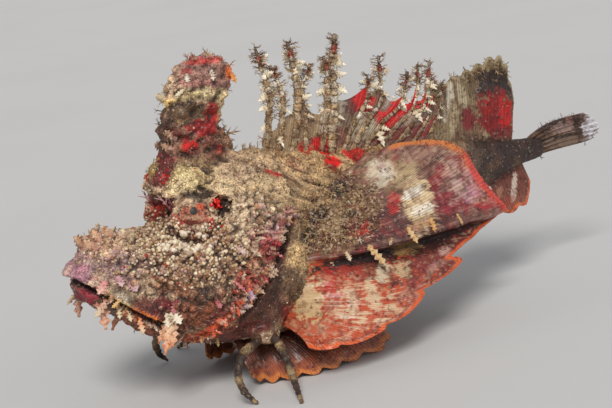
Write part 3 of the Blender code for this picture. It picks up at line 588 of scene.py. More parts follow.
def work_skin(skin):
    """Raise the relief, sink the eye openings, and dig the pit behind each eye."""
    points = places_of(skin)
    normals = vertex_rows(skin, "normal")
    points += normals * skin_relief(points)[:, None]
    for _, side in SIDES:
        eye, axis = on_side(EYE_CENTRE, side), on_side(EYE_AXIS, side)
        offset = points - eye
        distance = np.linalg.norm(offset, axis=1)
        way = offset / distance[:, None]
        facing = np.degrees(np.arccos(np.clip(way @ axis, -1, 1)))
        around = way - axis * (way @ axis)[:, None]
        rise = around[:, 2] / np.linalg.norm(around, axis=1)
        lid = 62 - 36 * step(rise, -0.1, 0.95) - 20 * step(rise, 0.0, -0.95) + 6 * rough(way, 0.35, 2)
        opening = (distance < 9.5) * step(facing, lid + 5, lid - 3)
        lids = (distance < 9.0) * (facing < 82) * step(facing, lid - 1, lid + 5)
        target = np.maximum(distance, (EYE_RADIUS + 1.0) * lids)
        target += (EYE_RADIUS - 0.6 - target) * opening
        moat = groove(distance - 8.0, 1.5, 0.3) * step(facing, 60, 75) * step(points[:, 2], 61, 58.5)
        dig = 1.5 * moat * step(points[:, 0], 50, 46)
        points = eye + way * target[:, None] - normals * dig[:, None]
    move_to(skin, points)
    skin.data.update()
    skin.data.shade_smooth()


def hollowness(thing):
    """How deep each place lies below the skin around it, in millimetres; raised places are negative."""
    points = places_of(thing)
    ends = np.empty(len(thing.data.edges) * 2, dtype=np.int32)
    thing.data.edges.foreach_get("vertices", ends)
    one, two = ends.reshape(-1, 2).T
    count = np.bincount(ends, minlength=len(points))[:, None]
    smooth = points.copy()
    for _ in range(SMOOTHING_ROUNDS):
        total = np.zeros_like(smooth)
        np.add.at(total, one, smooth[two])
        np.add.at(total, two, smooth[one])
        smooth = 0.4 * smooth + 0.6 * total / count
    return np.einsum("ij,ij->i", smooth - points, vertex_rows(thing, "normal"))


skin = make_flesh()
work_skin(skin)

# Colours are written as red, green and blue out of 255, as they show on a screen.
SAND = (196, 170, 140)
PALE_SAND = (214, 194, 166)
CREAM = (222, 206, 172)
TAN = (182, 150, 106)
BROWN = (120, 84, 58)
DARK = (62, 44, 34)
BLACK = (34, 26, 22)
MAUVE = (166, 132, 134)
LAVENDER = (206, 172, 172)
PINK = (206, 128, 128)
ROSE = (186, 84, 92)
CRIMSON = (140, 28, 44)
SCARLET = (206, 18, 14)
RED = (164, 40, 30)
MAROON = (92, 30, 28)
ORANGE = (222, 106, 40)
RUST = (176, 82, 44)
OLIVE = (116, 96, 62)

# Broad colours of the body: centre and radii on the fish, colour, cover.
BODY_ZONES = (
    ((100, 0, 58), (60, 30, 26), TAN, 0.9),
    ((64, 18, 30), (20, 16, 30), (150, 124, 90), 0.9),
    ((110, 0, 20), (60, 30, 22), BROWN, 0.8),
    ((160, 0, 42), (46, 30, 40), (54, 34, 27), 1),
    ((60, 0, 4), (70, 26, 15), (110, 62, 44), 0.95),
    ((38, 18, 22), (18, 14, 11), (150, 106, 76), 0.9),
    ((6, 0, 44), (20, 16, 9), MAUVE, 0.9),
    ((16, 0, 20), (16, 16, 13), (120, 66, 42), 0.95),
    ((44, 0, 72), (20, 20, 14), (132, 88, 68), 0.95),
    ((30, 0, 52), (9, 6, 8), BROWN, 0.8),
    ((35.6, 5, 52.6), (7.6, 4.8, 7), (186, 56, 36), 1),
    # The black zone between the eyes is painted shade in the hollow there.
    ((36, 0, 58), (7, 2.6, 4), BLACK, 0.9),
)
# Marks of the skin as the photograph shows them: place, half width, half height and lean in
# its pixels and degrees, colour, cover.
SKIN_MARKS = (
    (81, 273, 10, 10, 0, (156, 108, 124), 0.9), (88, 295, 11, 9, 0, (138, 36, 50), 1),
    (104, 250, 18, 12, 15, (206, 156, 128), 0.6), (112, 270, 24, 10, 30, MAUVE, 0.7),
    (128, 262, 20, 10, 25, (176, 144, 150), 0.6), (128, 302, 25, 10, 34, (132, 112, 86), 0.95),
    (122, 297, 8, 4, 30, (190, 176, 156), 0.8), (134, 304, 9, 2.4, 30, (96, 76, 56), 0.7),
    # The dark brown mark at (113, 313), under the upper lip, is painted shade of the open mouth.
    (148, 308, 13, 10, 30, (122, 58, 44), 0.9), (113, 313, 12, 8, 40, (70, 40, 30), 0.8),
    (136, 326, 26, 7, 30, (150, 84, 54), 0.9), (176, 338, 26, 6, 4, (120, 62, 40), 0.9),
    (194, 312, 38, 17, -12, (128, 64, 36), 0.9), (176, 288, 26, 7, 4, (140, 96, 66), 0.6),
    (163, 302, 10, 5, 20, CRIMSON, 0.9), (160, 315, 16, 8, 15, MAROON, 0.9),
    (120, 302, 14, 1.6, 26, (206, 180, 130), 0.9), (146, 315, 17, 2, 26, (214, 120, 60), 0.9),
    (150, 230, 20, 8, 0, (170, 146, 118), 0.5), (140, 214, 8, 7, 0, ROSE, 0.4),
    (176, 288, 20, 7, 10, (190, 130, 96), 0.5), (206, 296, 12, 9, -20, (84, 60, 46), 0.8),
    (222, 316, 22, 7, -42, (116, 44, 32), 0.9), (218, 326, 24, 5, -32, (222, 92, 44), 0.95),
    (242, 304, 13, 5, -48, (210, 80, 44), 0.9), (200, 336, 22, 4, -18, (206, 88, 46), 0.8),
    # The black line at (236, 290) is painted shade in the crease before the gill cover.
    (236, 290, 22, 2.4, -68, BLACK, 0.8), (240, 276, 14, 3, -70, RED, 0.7),
    (268, 248, 10, 17, 20, (168, 52, 54), 0.9), (276, 226, 8, 12, 30, LAVENDER, 0.8),
    (262, 236, 12, 9, 0, PINK, 0.5), (256, 262, 12, 12, 20, (196, 138, 106), 0.7),
    # The dark band at (281, 254) is partly the skin's own maroon and partly painted shade under the gill
    # cover's edge.
    (281, 254, 6, 20, 18, (70, 22, 26), 0.9), (250, 284, 9, 10, 30, (196, 70, 58), 0.8),
    (232, 180, 44, 18, 14, (204, 182, 142), 0.7), (250, 210, 20, 12, 20, PALE_SAND, 0.5),
    (188, 175, 27, 16, -20, (222, 202, 150), 0.95), (176, 188, 12, 8, -10, (226, 206, 162), 0.8),
    # The two black marks here are painted shade: the gap under the nape lump and the pit behind the eye.
    (198, 196, 14, 4, 0, BLACK, 0.9), (226, 205, 7, 7, 0, BLACK, 0.9),
    (176, 222, 6, 8, 0, RED, 0.8), (194, 234, 20, 4, 8, (130, 56, 42), 0.8),
    (212, 224, 4, 6, 0, SCARLET, 0.8), (160, 170, 13, 18, 30, (110, 24, 30), 0.95),
    (151, 172, 3.4, 13, 25, (160, 134, 74), 0.95), (166, 176, 4, 8, 30, SCARLET, 0.7),
    (206, 74, 32, 20, 0, (150, 110, 100), 0.95), (204, 61, 18, 3, -6, (190, 60, 50), 0.8),
    (186, 72, 6, 4, -40, (176, 60, 60), 0.7), (232, 77, 5, 12, -20, ORANGE, 0.95),
    (196, 84, 16, 5, 0, (178, 120, 112), 0.5), (209, 95, 26, 7, 5, (206, 190, 148), 0.95),
    (186, 96, 14, 5, -10, (196, 176, 130), 0.8), (224, 108, 8, 13, 0, (196, 168, 124), 0.9),
    (168, 104, 8, 6, 0, (206, 176, 110), 0.85), (186, 112, 22, 10, 0, (96, 72, 46), 0.97),
    (212, 114, 7, 14, 0, (170, 22, 20), 0.95), (188, 123, 12, 3.2, 5, TAN, 0.9),
    (201, 128, 14, 8, 14, (150, 16, 24), 0.95), (166, 134, 10, 18, 0, (88, 60, 46), 0.9),
    (180, 136, 14, 4, 20, (110, 40, 34), 0.8), (191, 146, 8, 8, 20, (190, 22, 22), 0.95),
    (208, 142, 10, 4, 0, (110, 50, 40), 0.7), (219, 149, 6, 5, 0, (180, 34, 28), 0.8),
    (206, 158, 22, 8, 0, (120, 78, 62), 0.7), (238, 168, 22, 12, 0, SAND, 0.8),
    (273, 173, 10, 2.2, 16, SCARLET, 0.9), (294, 166, 10, 2.2, 34, (176, 34, 30), 0.9),
    (306, 147, 7, 5.5, 30, SCARLET, 0.95), (322, 147, 11, 6.5, 35, SCARLET, 0.95),
    (332, 163, 9, 7, 40, SCARLET, 1), (356, 154, 13, 7, 20, (196, 26, 22), 0.95),
    (344, 178, 40, 3.6, 32, (150, 118, 76), 0.6), (312, 176, 40, 3, 30, (206, 178, 132), 0.6),
    (290, 192, 34, 12, 10, (184, 158, 118), 0.6), (338, 189, 9, 8, -20, BLACK, 0.85),
    (306, 236, 7, 7, 0, BLACK, 0.85), (322, 212, 16, 5, -25, (80, 60, 44), 0.8),
    (316, 226, 10, 4, 0, BLACK, 0.6), (300, 205, 16, 10, 0, (178, 150, 108), 0.6),
    (270, 284, 13, 24, 20, (80, 46, 36), 0.9), (284, 300, 8, 16, 10, (110, 40, 34), 0.6),
    (258, 168, 22, 3, 30, (120, 92, 62), 0.7), (276, 184, 26, 3, 34, (216, 190, 150), 0.6),
    (262, 196, 20, 3, 30, (126, 96, 66), 0.6), (300, 186, 24, 2.6, 30, (122, 90, 60), 0.7),
    (260, 312, 26, 20, -20, (84, 46, 34), 0.9), (290, 318, 8, 14, 0, (150, 40, 34), 0.6),
    (240, 332, 30, 8, -14, (110, 44, 34), 0.9), (222, 345, 34, 6, 0, (92, 44, 30), 0.9),
    (299, 256, 13, 11, 0, (208, 178, 128), 0.9), (292, 284, 12, 15, 20, (96, 72, 50), 0.85),
    (290, 232, 10, 8, 0, (110, 84, 58), 0.8),
)


def shade(colour):
    """A colour written out of 255, made linear. One that is linear already stays as it is."""
    if isinstance(colour, np.ndarray):
        return colour
    parts = np.array(colour) / 255
    return np.where(parts < 0.04045, parts / 12.92, ((parts + 0.055) / 1.055) ** 2.4)


def all_over(points, colour):
    return np.tile(shade(colour), (len(points), 1))


def layered(colours, *layers):
    """Lay one colour after another over the colours of many places, each as far as its share."""
    for colour, share in layers:
        colours = colours + (shade(colour) - colours) * share[:, None]
    return colours


def zoned(points, ground, zones):
    """One colour all over, with broad soft zones laid over it."""
    layers = [(colour, near(on_right(points), centre, radii) * cover)
              for centre, radii, colour, cover in zones]
    return layered(all_over(points, ground), *layers)


def marked(points, colours, marks, ragged=0.3, seed=1):
    """Lay marks with ragged edges over the colours of these places."""
    x, y = seen_at(points)
    wave = ragged * (rough(points, 2.6, seed) + 1.3 * rough(points, 0.8, seed + 5))
    for mark_x, mark_y, wide, high, lean, colour, cover in marks:
        turn = math.radians(lean)
        across = (x - mark_x) * math.cos(turn) + (y - mark_y) * math.sin(turn)
        down = (y - mark_y) * math.cos(turn) - (x - mark_x) * math.sin(turn)
        far = (np.abs(across / wide) ** 2.6 + np.abs(down / high) ** 2.6) ** (1 / 2.6)
        colours = layered(colours, (colour, step(far + wave, 1.1, 0.88) * cover))
    return colours


def give_paint(thing, colours):
    colours = np.column_stack((np.clip(colours, 0, 1), np.ones(len(colours))))
    thing.data.attributes.new("paint", "FLOAT_COLOR", "POINT").data.foreach_set("color", colours.ravel())


def paint_skin(skin):
    points = places_of(skin)
    x, above = points[:, 0], above_mouth(points)
    tint = clumps(points, 2.7, 3)[1] * step(x, 74, 60) * (1 - bare(points)) * (1 - forehead(points))
    colours = layered(
        zoned(points, SAND, BODY_ZONES),
        ((104, 56, 36), 0.85 * step(above, 0.3, -0.3) * step(x, 27, 22)),
        (CREAM, step(tint, 0.1, 0.4) * 0.5),
        ((140, 74, 50), step(tint, -0.1, -0.45) * 0.5),
        ((96, 72, 50), 0.55 * step(rough(points, 7, 41), 0.12, 0.45) * step(behind_gill(points), -2, 4)))
    colours += (colours * 0.28) * step(rough(points, 4.5, 17), 0.15, 0.45)[:, None]
    colours = layered(colours, ((110, 66, 48), 0.7 * zone(194, 256, 60, 42)(points)))
    colours = marked(points, colours, SKIN_MARKS)
    # Raised places are lightened, as painted light.
    deep = hollowness(skin)
    colours *= 1 + 0.3 * step(-deep, 0.1, 0.5)[:, None]
    give_paint(skin, layered(
        colours,
        # Hollows are darkened, as painted shade.
        ((52, 28, 22), 0.9 * step(deep, 0.05, 0.42)),
        # The mouth groove is darkened, as painted shade.
        ((30, 12, 12), groove(above, 0.9, 0.3) * step(x, 24.5, 23))))


def skin_finish(name, grain, relief, roughness=0.62):
    """Granular skin: each grain a little lighter or darker, the gaps between grains darkened as painted
    shade, and a few bright specks.
    """
    place = new_finish(name)
    far, tint = place.cells(grain), place.cells(grain, "Color")
    light, odd = tint.part("Red"), tint.part("Green")
    cloud, fine = place.cloud(330.0, 5.0, 0.6), place.cloud(2600.0, 2.0)
    tone = light.ramp(0.6, 1.0).times(place.paint(), (1.45, 1.4, 1.35, 1))
    tone = cloud.ramp(0.49, 0.62).times(tone, (0.5, 0.4, 0.35, 1))
    tone = cloud.ramp(0.48, 0.36).times(tone, (1.45, 1.42, 1.35, 1))
    tone = light.ramp(0.2, 0.02).times(tone, (0.5, 0.38, 0.3, 1))
    tone = (odd.ramp(0.94, 0.98) * 0.2).mix(tone, (0.8, 0.7, 0.55, 1))
    # The low gaps between the grains are darkened, as painted shade.
    tone = (far.ramp(0.5, 0.85) * 0.8).times(tone, (0.34, 0.24, 0.19, 1))
    height = 1.0 - far + fine * 0.35 + cloud * 0.9
    return close_finish(place, {
        "Base Color": tone, "Roughness": light * 0.3 + (roughness - 0.15),
        "Normal": height.bump(1.0, relief), "Coat Weight": 0.12, "Coat Roughness": 0.25})


paint_skin(skin)
skin.data.materials.clear()
skin.data.materials.append(skin_finish("granular_skin", 2300.0, 0.00025))
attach(skin, "root")
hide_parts("head", "lower_jaw", "trunk", "tail", "dorsal_front")


# The eyes
# Balls with a dull sheen in raised turrets of skin. The iris is red-brown, with paler spokes
# round a small dark pupil, and looks ahead and out to the side. They fill the sunk openings.

IRIS_COLOURS = ((50, 24, 20), (156, 78, 52), (196, 150, 124), (150, 34, 26))
PUPIL_DEGREES = 12
# Marks of the iris in the photograph's pixels, written as those of the skin.
EYE_MARKS = (
    (194, 202, 20, 4, 0, SAND, 0.6), (178, 224, 8, 6, 30, (200, 30, 24), 0.8),
    (208, 222, 5, 6, 0, (196, 24, 22), 0.8), (200, 206, 3.4, 3, 0, (206, 76, 44), 0.8),
    (196, 218, 14, 2.2, 5, (204, 164, 130), 0.6), (193, 224, 14, 3.2, 8, (106, 36, 26), 0.8),
)


def make_eye(name, side):
    centre, axis = on_side(EYE_CENTRE, side), on_side(EYE_AXIS, side)
    bpy.ops.object.select_all(action="DESELECT")
    bpy.ops.mesh.primitive_uv_sphere_add(
        segments=96, ring_count=64, radius=EYE_RADIUS * MM, location=in_model(centre))
    eye = bpy.context.object
    bpy.ops.object.transform_apply(location=True, rotation=True, scale=True)
    points = places_of(eye)
    way = unit(points - centre)
    across = np.cross(axis, (0, 0, 1.0))
    across /= np.linalg.norm(across)
    up = np.cross(across, axis)
    angle = np.arctan2(way @ up, (way @ across) * 1.15)
    polar = np.degrees(np.arccos(np.clip(way @ axis, -1, 1)))
    ring = np.column_stack((np.cos(angle), np.sin(angle), polar / 90))
    spokes = rough(ring * (1, 1, 0.6), 0.2, 3) + 0.8 * rough(way, 0.11, 9)
    edge = polar + 2.5 * rough(ring, 0.5, 4)
    dark, red, pale, brown = IRIS_COLOURS
    colours = layered(
        all_over(points, red),
        (brown, step(polar, 38, 62)),
        (pale, 0.6 * step(spokes, 0.1, 0.5)),
        (SAND, 0.8 * step(rough(way, 0.1, 6) + (polar - 44) / 30, 0.1, 0.3)),
        (dark, 0.9 * step(spokes + 0.5 * rough(way, 0.3, 8), 0.08, -0.22)),
        ((196, 120, 60), 0.6 * groove(edge - PUPIL_DEGREES - 3, 3, 0.5)))
    colours = marked(points, colours, EYE_MARKS, 0.4, 11)
    pupil = step(edge, PUPIL_DEGREES + 2.5, PUPIL_DEGREES - 1.5)
    give_paint(eye, layered(colours, ((18, 13, 13), pupil)))
    eye.name = eye.data.name = "eyeball_" + name
    eye.data.shade_smooth()
    eye.data.materials.append(eye_material)
    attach(eye, "root")
    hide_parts("eye_" + name)


def eye_finish():
    place = new_finish("wet_eye")
    grain = place.cloud(2600.0, 3.0)
    tone = grain.ramp(0.5, 0.62).times(place.paint(), (0.5, 0.38, 0.34, 1))
    tone = grain.ramp(0.44, 0.36).times(tone, (1.5, 1.4, 1.3, 1))
    return close_finish(place, {
        "Base Color": tone, "Roughness": 0.6, "Coat Weight": 0.05, "Coat Roughness": 0.2})


eye_material = eye_finish()
for name, side in SIDES:
    make_eye(name, side)


# The beads and grains of the skin
# White and cream beads crowd the cheeks and ring the eyes, and grains the size of sand lie
# over the forehead, nape and back. Each is a hard raised dot of skin, set a little way in.

BEAD_COUNT, BEAD_SPACING = 2300, 0.78
GRAIN_COUNT, GRAIN_SPACING = 7600, 0.62
BERRY_X, BERRY_Y = 216, 204
# The side of the patch of the unwrap that each small growth is given.
PATCH = 0.003


def triangles(thing):
    thing.data.calc_loop_triangles()
    corners = np.empty(len(thing.data.loop_triangles) * 3, dtype=np.int32)
    thing.data.loop_triangles.foreach_get("vertices", corners)
    return corners.reshape(-1, 3)


def depth_of(place):
    """How far a place lies from the viewpoint, along the way the camera looks."""
    return -(np.array(place) - VIEWPOINT) @ BACKWARD


def in_view(x, y, depth):
    """A step in the picture's plane, in its pixels, at a distance from the viewpoint."""
    return (RIGHTWARD * x - UPWARD * y) * depth / FOCUS


class Ground:
    """Finds places on finished pieces: at random, or under a pixel of the photograph."""

    def __init__(self, *things):
        points, corners, depths, count = [], [], [], 0
        for thing in things:
            corners.append(triangles(thing) + count)
            points.append(places_of(thing))
            depths.append(hollowness(thing))
            count += len(points[-1])
        self.corners = np.vstack(corners)
        self.points = np.vstack(points)
        self.tree = BVHTree.FromPolygons(self.points.tolist(), self.corners.tolist())
        self.crest = 0.06 + step(np.concatenate(depths)[self.corners].mean(axis=1), 0.18, -0.15)

    def scatter(self, count, wanted, spacing, seed):
        """About this many raised places, more where wanted(points) is near 1, kept this far apart."""
        draw = np.random.default_rng(seed)
        a, b, c = (self.points[self.corners[:, k]] for k in range(3))
        cross = np.cross(b - a, c - a)
        area = np.linalg.norm(cross, axis=1)
        share = area * self.crest * wanted((a + b + c) / 3)
        picked = draw.choice(len(area), size=count * 3, p=share / share.sum())
        s, t = draw.random(len(picked)), draw.random(len(picked))
        s, t = np.where(s + t > 1, 1 - s, s), np.where(s + t > 1, 1 - t, t)
        places = a[picked] + (b - a)[picked] * s[:, None] + (c - a)[picked] * t[:, None]
        faces = cross[picked] / area[picked][:, None]
        taken, kept = {}, []
        for i, cell in enumerate(map(tuple, np.floor(places / spacing).astype(int))):
            around = [taken.get((cell[0] + p, cell[1] + q, cell[2] + r), ())
                      for p in (-1, 0, 1) for q in (-1, 0, 1) for r in (-1, 0, 1)]
            close = [j for group in around for j in group]
            if all(np.sum((places[j] - places[i]) ** 2) > spacing ** 2 for j in close):
                taken.setdefault(cell, []).append(i)
                kept.append(i)
                if len(kept) == count:
                    break
        return places[kept], faces[kept]

    def under(self, x, y):
        """The place and outward direction of the skin seen at a pixel, or the nearest to its line."""
        viewpoint = Vector(VIEWPOINT)
        ray = Vector(in_view(x - PICTURE_WIDTH / 2, y - PICTURE_HEIGHT / 2, 1) - BACKWARD)
        place, face, _, _ = self.tree.ray_cast(viewpoint, ray)
        if place is None:
            reach = depth_of(self.tree.find_nearest(viewpoint + ray * STAND_OFF)[0])
            return self.nearest(viewpoint + ray * reach)
        return np.array(place), np.array(face)

    def nearest(self, point):
        place, face, _, _ = self.tree.find_nearest(Vector(point))
        return np.array(place), np.array(face)


def unwrapped(points):
    """Each place on an unwrap of the fish's own shape: along it, and round it from the belly."""
    round_about = np.arctan2(points[:, 1], points[:, 2] - 35) / (2 * np.pi) + 0.5
    return np.column_stack((0.04 + 0.92 * points[:, 0] / FISH_LENGTH, 0.04 + 0.92 * round_about))


def planted(name, shape, places, leads, sizes, colours, tips=None, faces=None, bend=None):
    """One mesh of many copies of a shape.

    The shape stands up along z from its root at the origin. Each copy leans along its lead,
    its x side turned across its face, and is coloured from its root to its tip.
    """
    model = vertex_rows(shape)
    corners = triangles(shape)
    count, size = len(places), len(model)
    faces = np.roll(leads, 1, axis=1) if faces is None else faces
    leads = unit(leads)
    sides = unit(np.cross(faces, leads))
    fronts = np.cross(leads, sides)
    local = model[None] * np.asarray(sizes, float).reshape(count, -1)[:, None]
    if bend is not None:
        local[:, :, 1] += bend[:, None] * model[None, :, 2] ** 2
    points = (places[:, None] + local[:, :, :1] * sides[:, None] + local[:, :, 1:2] * fronts[:, None]
              + local[:, :, 2:] * leads[:, None]).reshape(-1, 3)
    mesh = bpy.data.meshes.new(name)
    mesh.vertices.add(count * size)
    mesh.vertices.foreach_set("co", in_model(points).ravel())
    every = (corners[None] + size * np.arange(count)[:, None, None]).reshape(-1, 3)
    mesh.loops.add(every.size)
    mesh.polygons.add(len(every))
    mesh.loops.foreach_set("vertex_index", every.ravel().astype(np.int32))
    mesh.polygons.foreach_set("loop_start", np.arange(0, every.size, 3, dtype=np.int32))
    mesh.update(calc_edges=True)
    thing = bpy.data.objects.new(name, mesh)
    bpy.context.scene.collection.objects.link(thing)
    rise = np.clip(model[:, 2], 0, 1)[None, :, None]
    tips = colours if tips is None else tips
    give_paint(thing, (colours[:, None] * (1 - rise) + tips[:, None] * rise).reshape(-1, 3))
    patch = np.tile(model[:, [0, 2]] * PATCH / np.ptp(model, axis=0).max(), (count, 1))
    patch = np.repeat(unwrapped(places), size, axis=0) + patch
    layer = mesh.uv_layers.new(name="OFBake")
    layer.data.foreach_set("uv", patch[every.ravel()].astype(np.float32).ravel())
    mesh.shade_smooth()
    return thing


def ico_shape(name, detail):
    """A small ball to copy, made at the origin."""
    bpy.ops.object.select_all(action="DESELECT")
    bpy.ops.mesh.primitive_ico_sphere_add(subdivisions=detail, radius=0.5)
    thing = bpy.context.object
    thing.name = name
    return thing


def uneven(thing, depth):
    """Make a small shape lumpy by a share of its size."""
    points = vertex_rows(thing)
    lumpy = points * (1 + depth * rough(points, 0.4, 2)[:, None])
    thing.data.vertices.foreach_set("co", lumpy.ravel())
    return thing


def pick(colours, shares, count, seed, spread=0.12):
    """A random colour for each of many small things, each a little lighter or darker."""
    draw = np.random.default_rng(seed)
    chances = np.array(shares) / sum(shares)
    chosen = np.array([shade(one) for one in colours])[draw.choice(len(colours), size=count, p=chances)]
    return chosen * (1 + spread * draw.standard_normal((count, 1)))


def clear_of_eyes(points):
    """0 on the eyes, in the gill slits and on bare skin, 1 elsewhere."""
    away = step(np.linalg.norm(on_right(points) - EYE_CENTRE, axis=1), 5.6, 6.4)
    slit = groove(behind_gill(points) - 0.8, 2.4, 1.0) * step(points[:, 2], 52, 45)
    return away * (1 - slit) * (1 - bare(points))


def body_colours(points):
    """The colours of the skin at these places, without the painted light and shade that follow its
    relief.
    """
    return marked(points, zoned(points, SAND, BODY_ZONES), SKIN_MARKS)


ground = Ground(skin)
bead = uneven(ico_shape("bead_shape", 2), 0.5)
grain = ico_shape("grain_shape", 1)
cheek = zone(194, 250, 56, 36)
snout = zone(122, 254, 44, 24)
brow = zone(252, 214, 30, 22)
under_eye = zone(186, 242, 34, 12)


def sunk(places, faces, depth):
    return places - faces * depth[:, None]


def beaded(points):
    """Where beads crowd: most under the eye, then on the cheek, brow and snout."""
    crowd = 1.6 * cheek(points) + 0.25 * snout(points) + 0.5 * brow(points) + 2 * under_eye(points)
    return clear_of_eyes(points) * np.clip(crowd, 0, 2)


def make_beads():
    places, faces = ground.scatter(BEAD_COUNT, beaded, BEAD_SPACING, 4)
    count = len(places)
    draw = np.random.default_rng(8)
    big = under_eye(places) * 0.75 + cheek(places) * 0.25
    width = 0.7 + 0.5 * draw.random(count) ** 2 + big * draw.random(count) ** 4 * 1.5
    colours = pick(
        (CREAM, (230, 216, 194), SAND, TAN, (186, 150, 140), (140, 96, 70), RED),
        (22, 7, 30, 20, 6, 15, 1), count, 9)
    whiter = under_eye(places) * step(width, 0.9, 1.5) * draw.uniform(0.2, 1, count)
    height = width * (0.9 + 0.3 * draw.random(count))
    beads = planted(
        "skin_beads", bead, sunk(places, faces, width * 0.12), faces,
        np.column_stack((width, width, height)), layered(colours, ((244, 232, 212), whiter)))
    beads.data.materials.append(dot_finish("bead_skin", 0.55))
    return beads


def make_berry():
    """A knot of scarlet dots on the brow behind each eye."""
    draw = np.random.default_rng(2)
    spread = draw.uniform(-3.8, 3.8, (60, 2)) * (1, 1.25)
    spots = [ground.under(BERRY_X + x, BERRY_Y + y) for x, y in spread]
    places = np.array([place + face * draw.uniform(0.6, 2.2) for place, face in spots])
    faces = np.array([face for _, face in spots])
    places, faces = (np.vstack((rows, rows * (1, -1, 1))) for rows in (places, faces))
    sizes = draw.uniform(0.6, 1.1, len(places))
    reds = pick(((230, 24, 18), (236, 60, 50), CRIMSON), (5, 3, 1), len(places), 1)
    berry = planted("brow_berries", bead, places, faces, sizes, reds)
    berry.data.materials.append(dot_finish("berry_skin", 0.3))
    return berry


def sandy(points):
    """Where grains lie: forehead, nape and back, and thinly over the rest."""
    x, _, z = points.T
    back = step(z, 44, 50) * step(x, 120, 95)
    flank = 0.5 * step(x, 110, 90) * step(z, 8, 20)
    thick = 0.25 + back + flank + snout(points) + brow(points) - 0.5 * cheek(points)
    return clear_of_eyes(points) * np.clip(thick, 0.02, 1) * step(x, 136, 112)


def make_grains():
    places, faces = ground.scatter(GRAIN_COUNT, sandy, GRAIN_SPACING, 6)
    draw = np.random.default_rng(3)
    width = 0.32 + 0.5 * draw.random(len(places)) ** 2.4
    colours = body_colours(places) * (0.75 + 0.85 * draw.random((len(places), 1)))
    odd = draw.random(len(places))
    colours[odd < 0.06] = shade((226, 210, 184))
    colours[odd > 0.97] = shade((80, 56, 44))
    colours[np.abs(odd - 0.5) < 0.012] = shade((170, 40, 34))
    grains = planted(
        "skin_grains", grain, sunk(places, faces, width * 0.1), faces, width, colours)
    grains.data.materials.append(dot_finish("grain_skin", 0.55))
    return grains


def dot_finish(name, roughness):
    place = new_finish(name)
    cloud = place.cloud(1400.0, 3.0)
    tone = cloud.ramp(0.5, 0.7).times(place.paint(), (0.72, 0.62, 0.54, 1))
    return close_finish(place, {
        "Base Color": tone, "Roughness": cloud * 0.2 + (roughness - 0.1),
        "Normal": cloud.bump(0.6, 0.0002)})


for piece in (make_beads(), make_berry(), make_grains()):
    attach(piece, "root")


# The flaps and cirri of the skin
# Ragged flaps hang from the snout, jaws and gill covers, and fine branched cirri stand all
# over the head, column and back. They are outgrowths of the skin itself, soft and thin.


def leaf(name, columns, rows, half_width, thickness):
    """A flat toothed flap one unit long; half_width(t) goes from its root to its tip."""
    bpy.ops.object.select_all(action="DESELECT")
    bpy.ops.mesh.primitive_grid_add(x_subdivisions=columns, y_subdivisions=rows, size=1)
    thing = bpy.context.object
    flat = vertex_rows(thing)
    rise = flat[:, 1] + 0.5
    across = flat[:, 0] * 2
    width = np.array([half_width(t) for t in rise])
    draw = np.random.default_rng(rows + columns)
    signs = np.where(np.arange(rows + 1) % 2, 1.0, -0.45)[:, None]
    bites = signs * draw.uniform(0.5, 1.2, (rows + 1, 2))
    bite = bites[np.round(rise * rows).astype(int), (across > 0).astype(int)]
    teeth = 1 + np.abs(across) * bite * (rise < 0.99)
    cup = 0.12 * across ** 2 * width
    spread = np.column_stack((across * width * teeth, cup, rise + 0.06 * across ** 2 * (1 - rise)))
    thing.data.vertices.foreach_set("co", spread.ravel())
    worked(thing, "SOLIDIFY", thickness=thickness, offset=0)
    thing.name = name
    return thing


def twig(name, branches, seed):
    """A small branched cirrus one unit long, of tapered stalks."""
    draw = random.Random(seed)
    stalks = []
    for i in range(branches + 1):
        turn, length, root, radius = Euler((0, 0, 0)), 1.0, Vector((0, 0, 0)), 0.075
        if i:
            turn = Euler((draw.uniform(0.5, 0.95), 0, 2.4 * i))
            length = draw.uniform(0.3, 0.5)
            root = Vector((0, 0, 0.25 + 0.6 * (i - 1) / branches))
            radius = 0.045
        bpy.ops.object.select_all(action="DESELECT")
        bpy.ops.mesh.primitive_cone_add(
            vertices=4, radius1=radius, radius2=0.014, depth=length, end_fill_type="TRIFAN",
            location=root + turn.to_matrix() @ Vector((0, 0, length / 2)), rotation=turn)
        stalks.append(bpy.context.object)
    thing = joined(name, stalks)
    bpy.ops.object.transform_apply(location=True, rotation=True, scale=True)
    return thing


def flap_width(t):
    return 0.12 + 0.26 * math.sin(math.pi * min(1, t * 0.9 + 0.1)) ** 0.8


flap = leaf("flap_shape", 2, 9, flap_width, 0.08)
tassel = leaf("tassel_shape", 2, 7, lambda t: 0.05 + 0.17 * (1 - t), 0.09)
cirrus = twig("cirrus_shape", 4, 2)
CIRRUS_COUNT, CIRRUS_SPACING = 1000, 1.15
FRINGED_ZONES = ((108, 250, 26, 22), (205, 300, 46, 26), (292, 262, 22, 44))

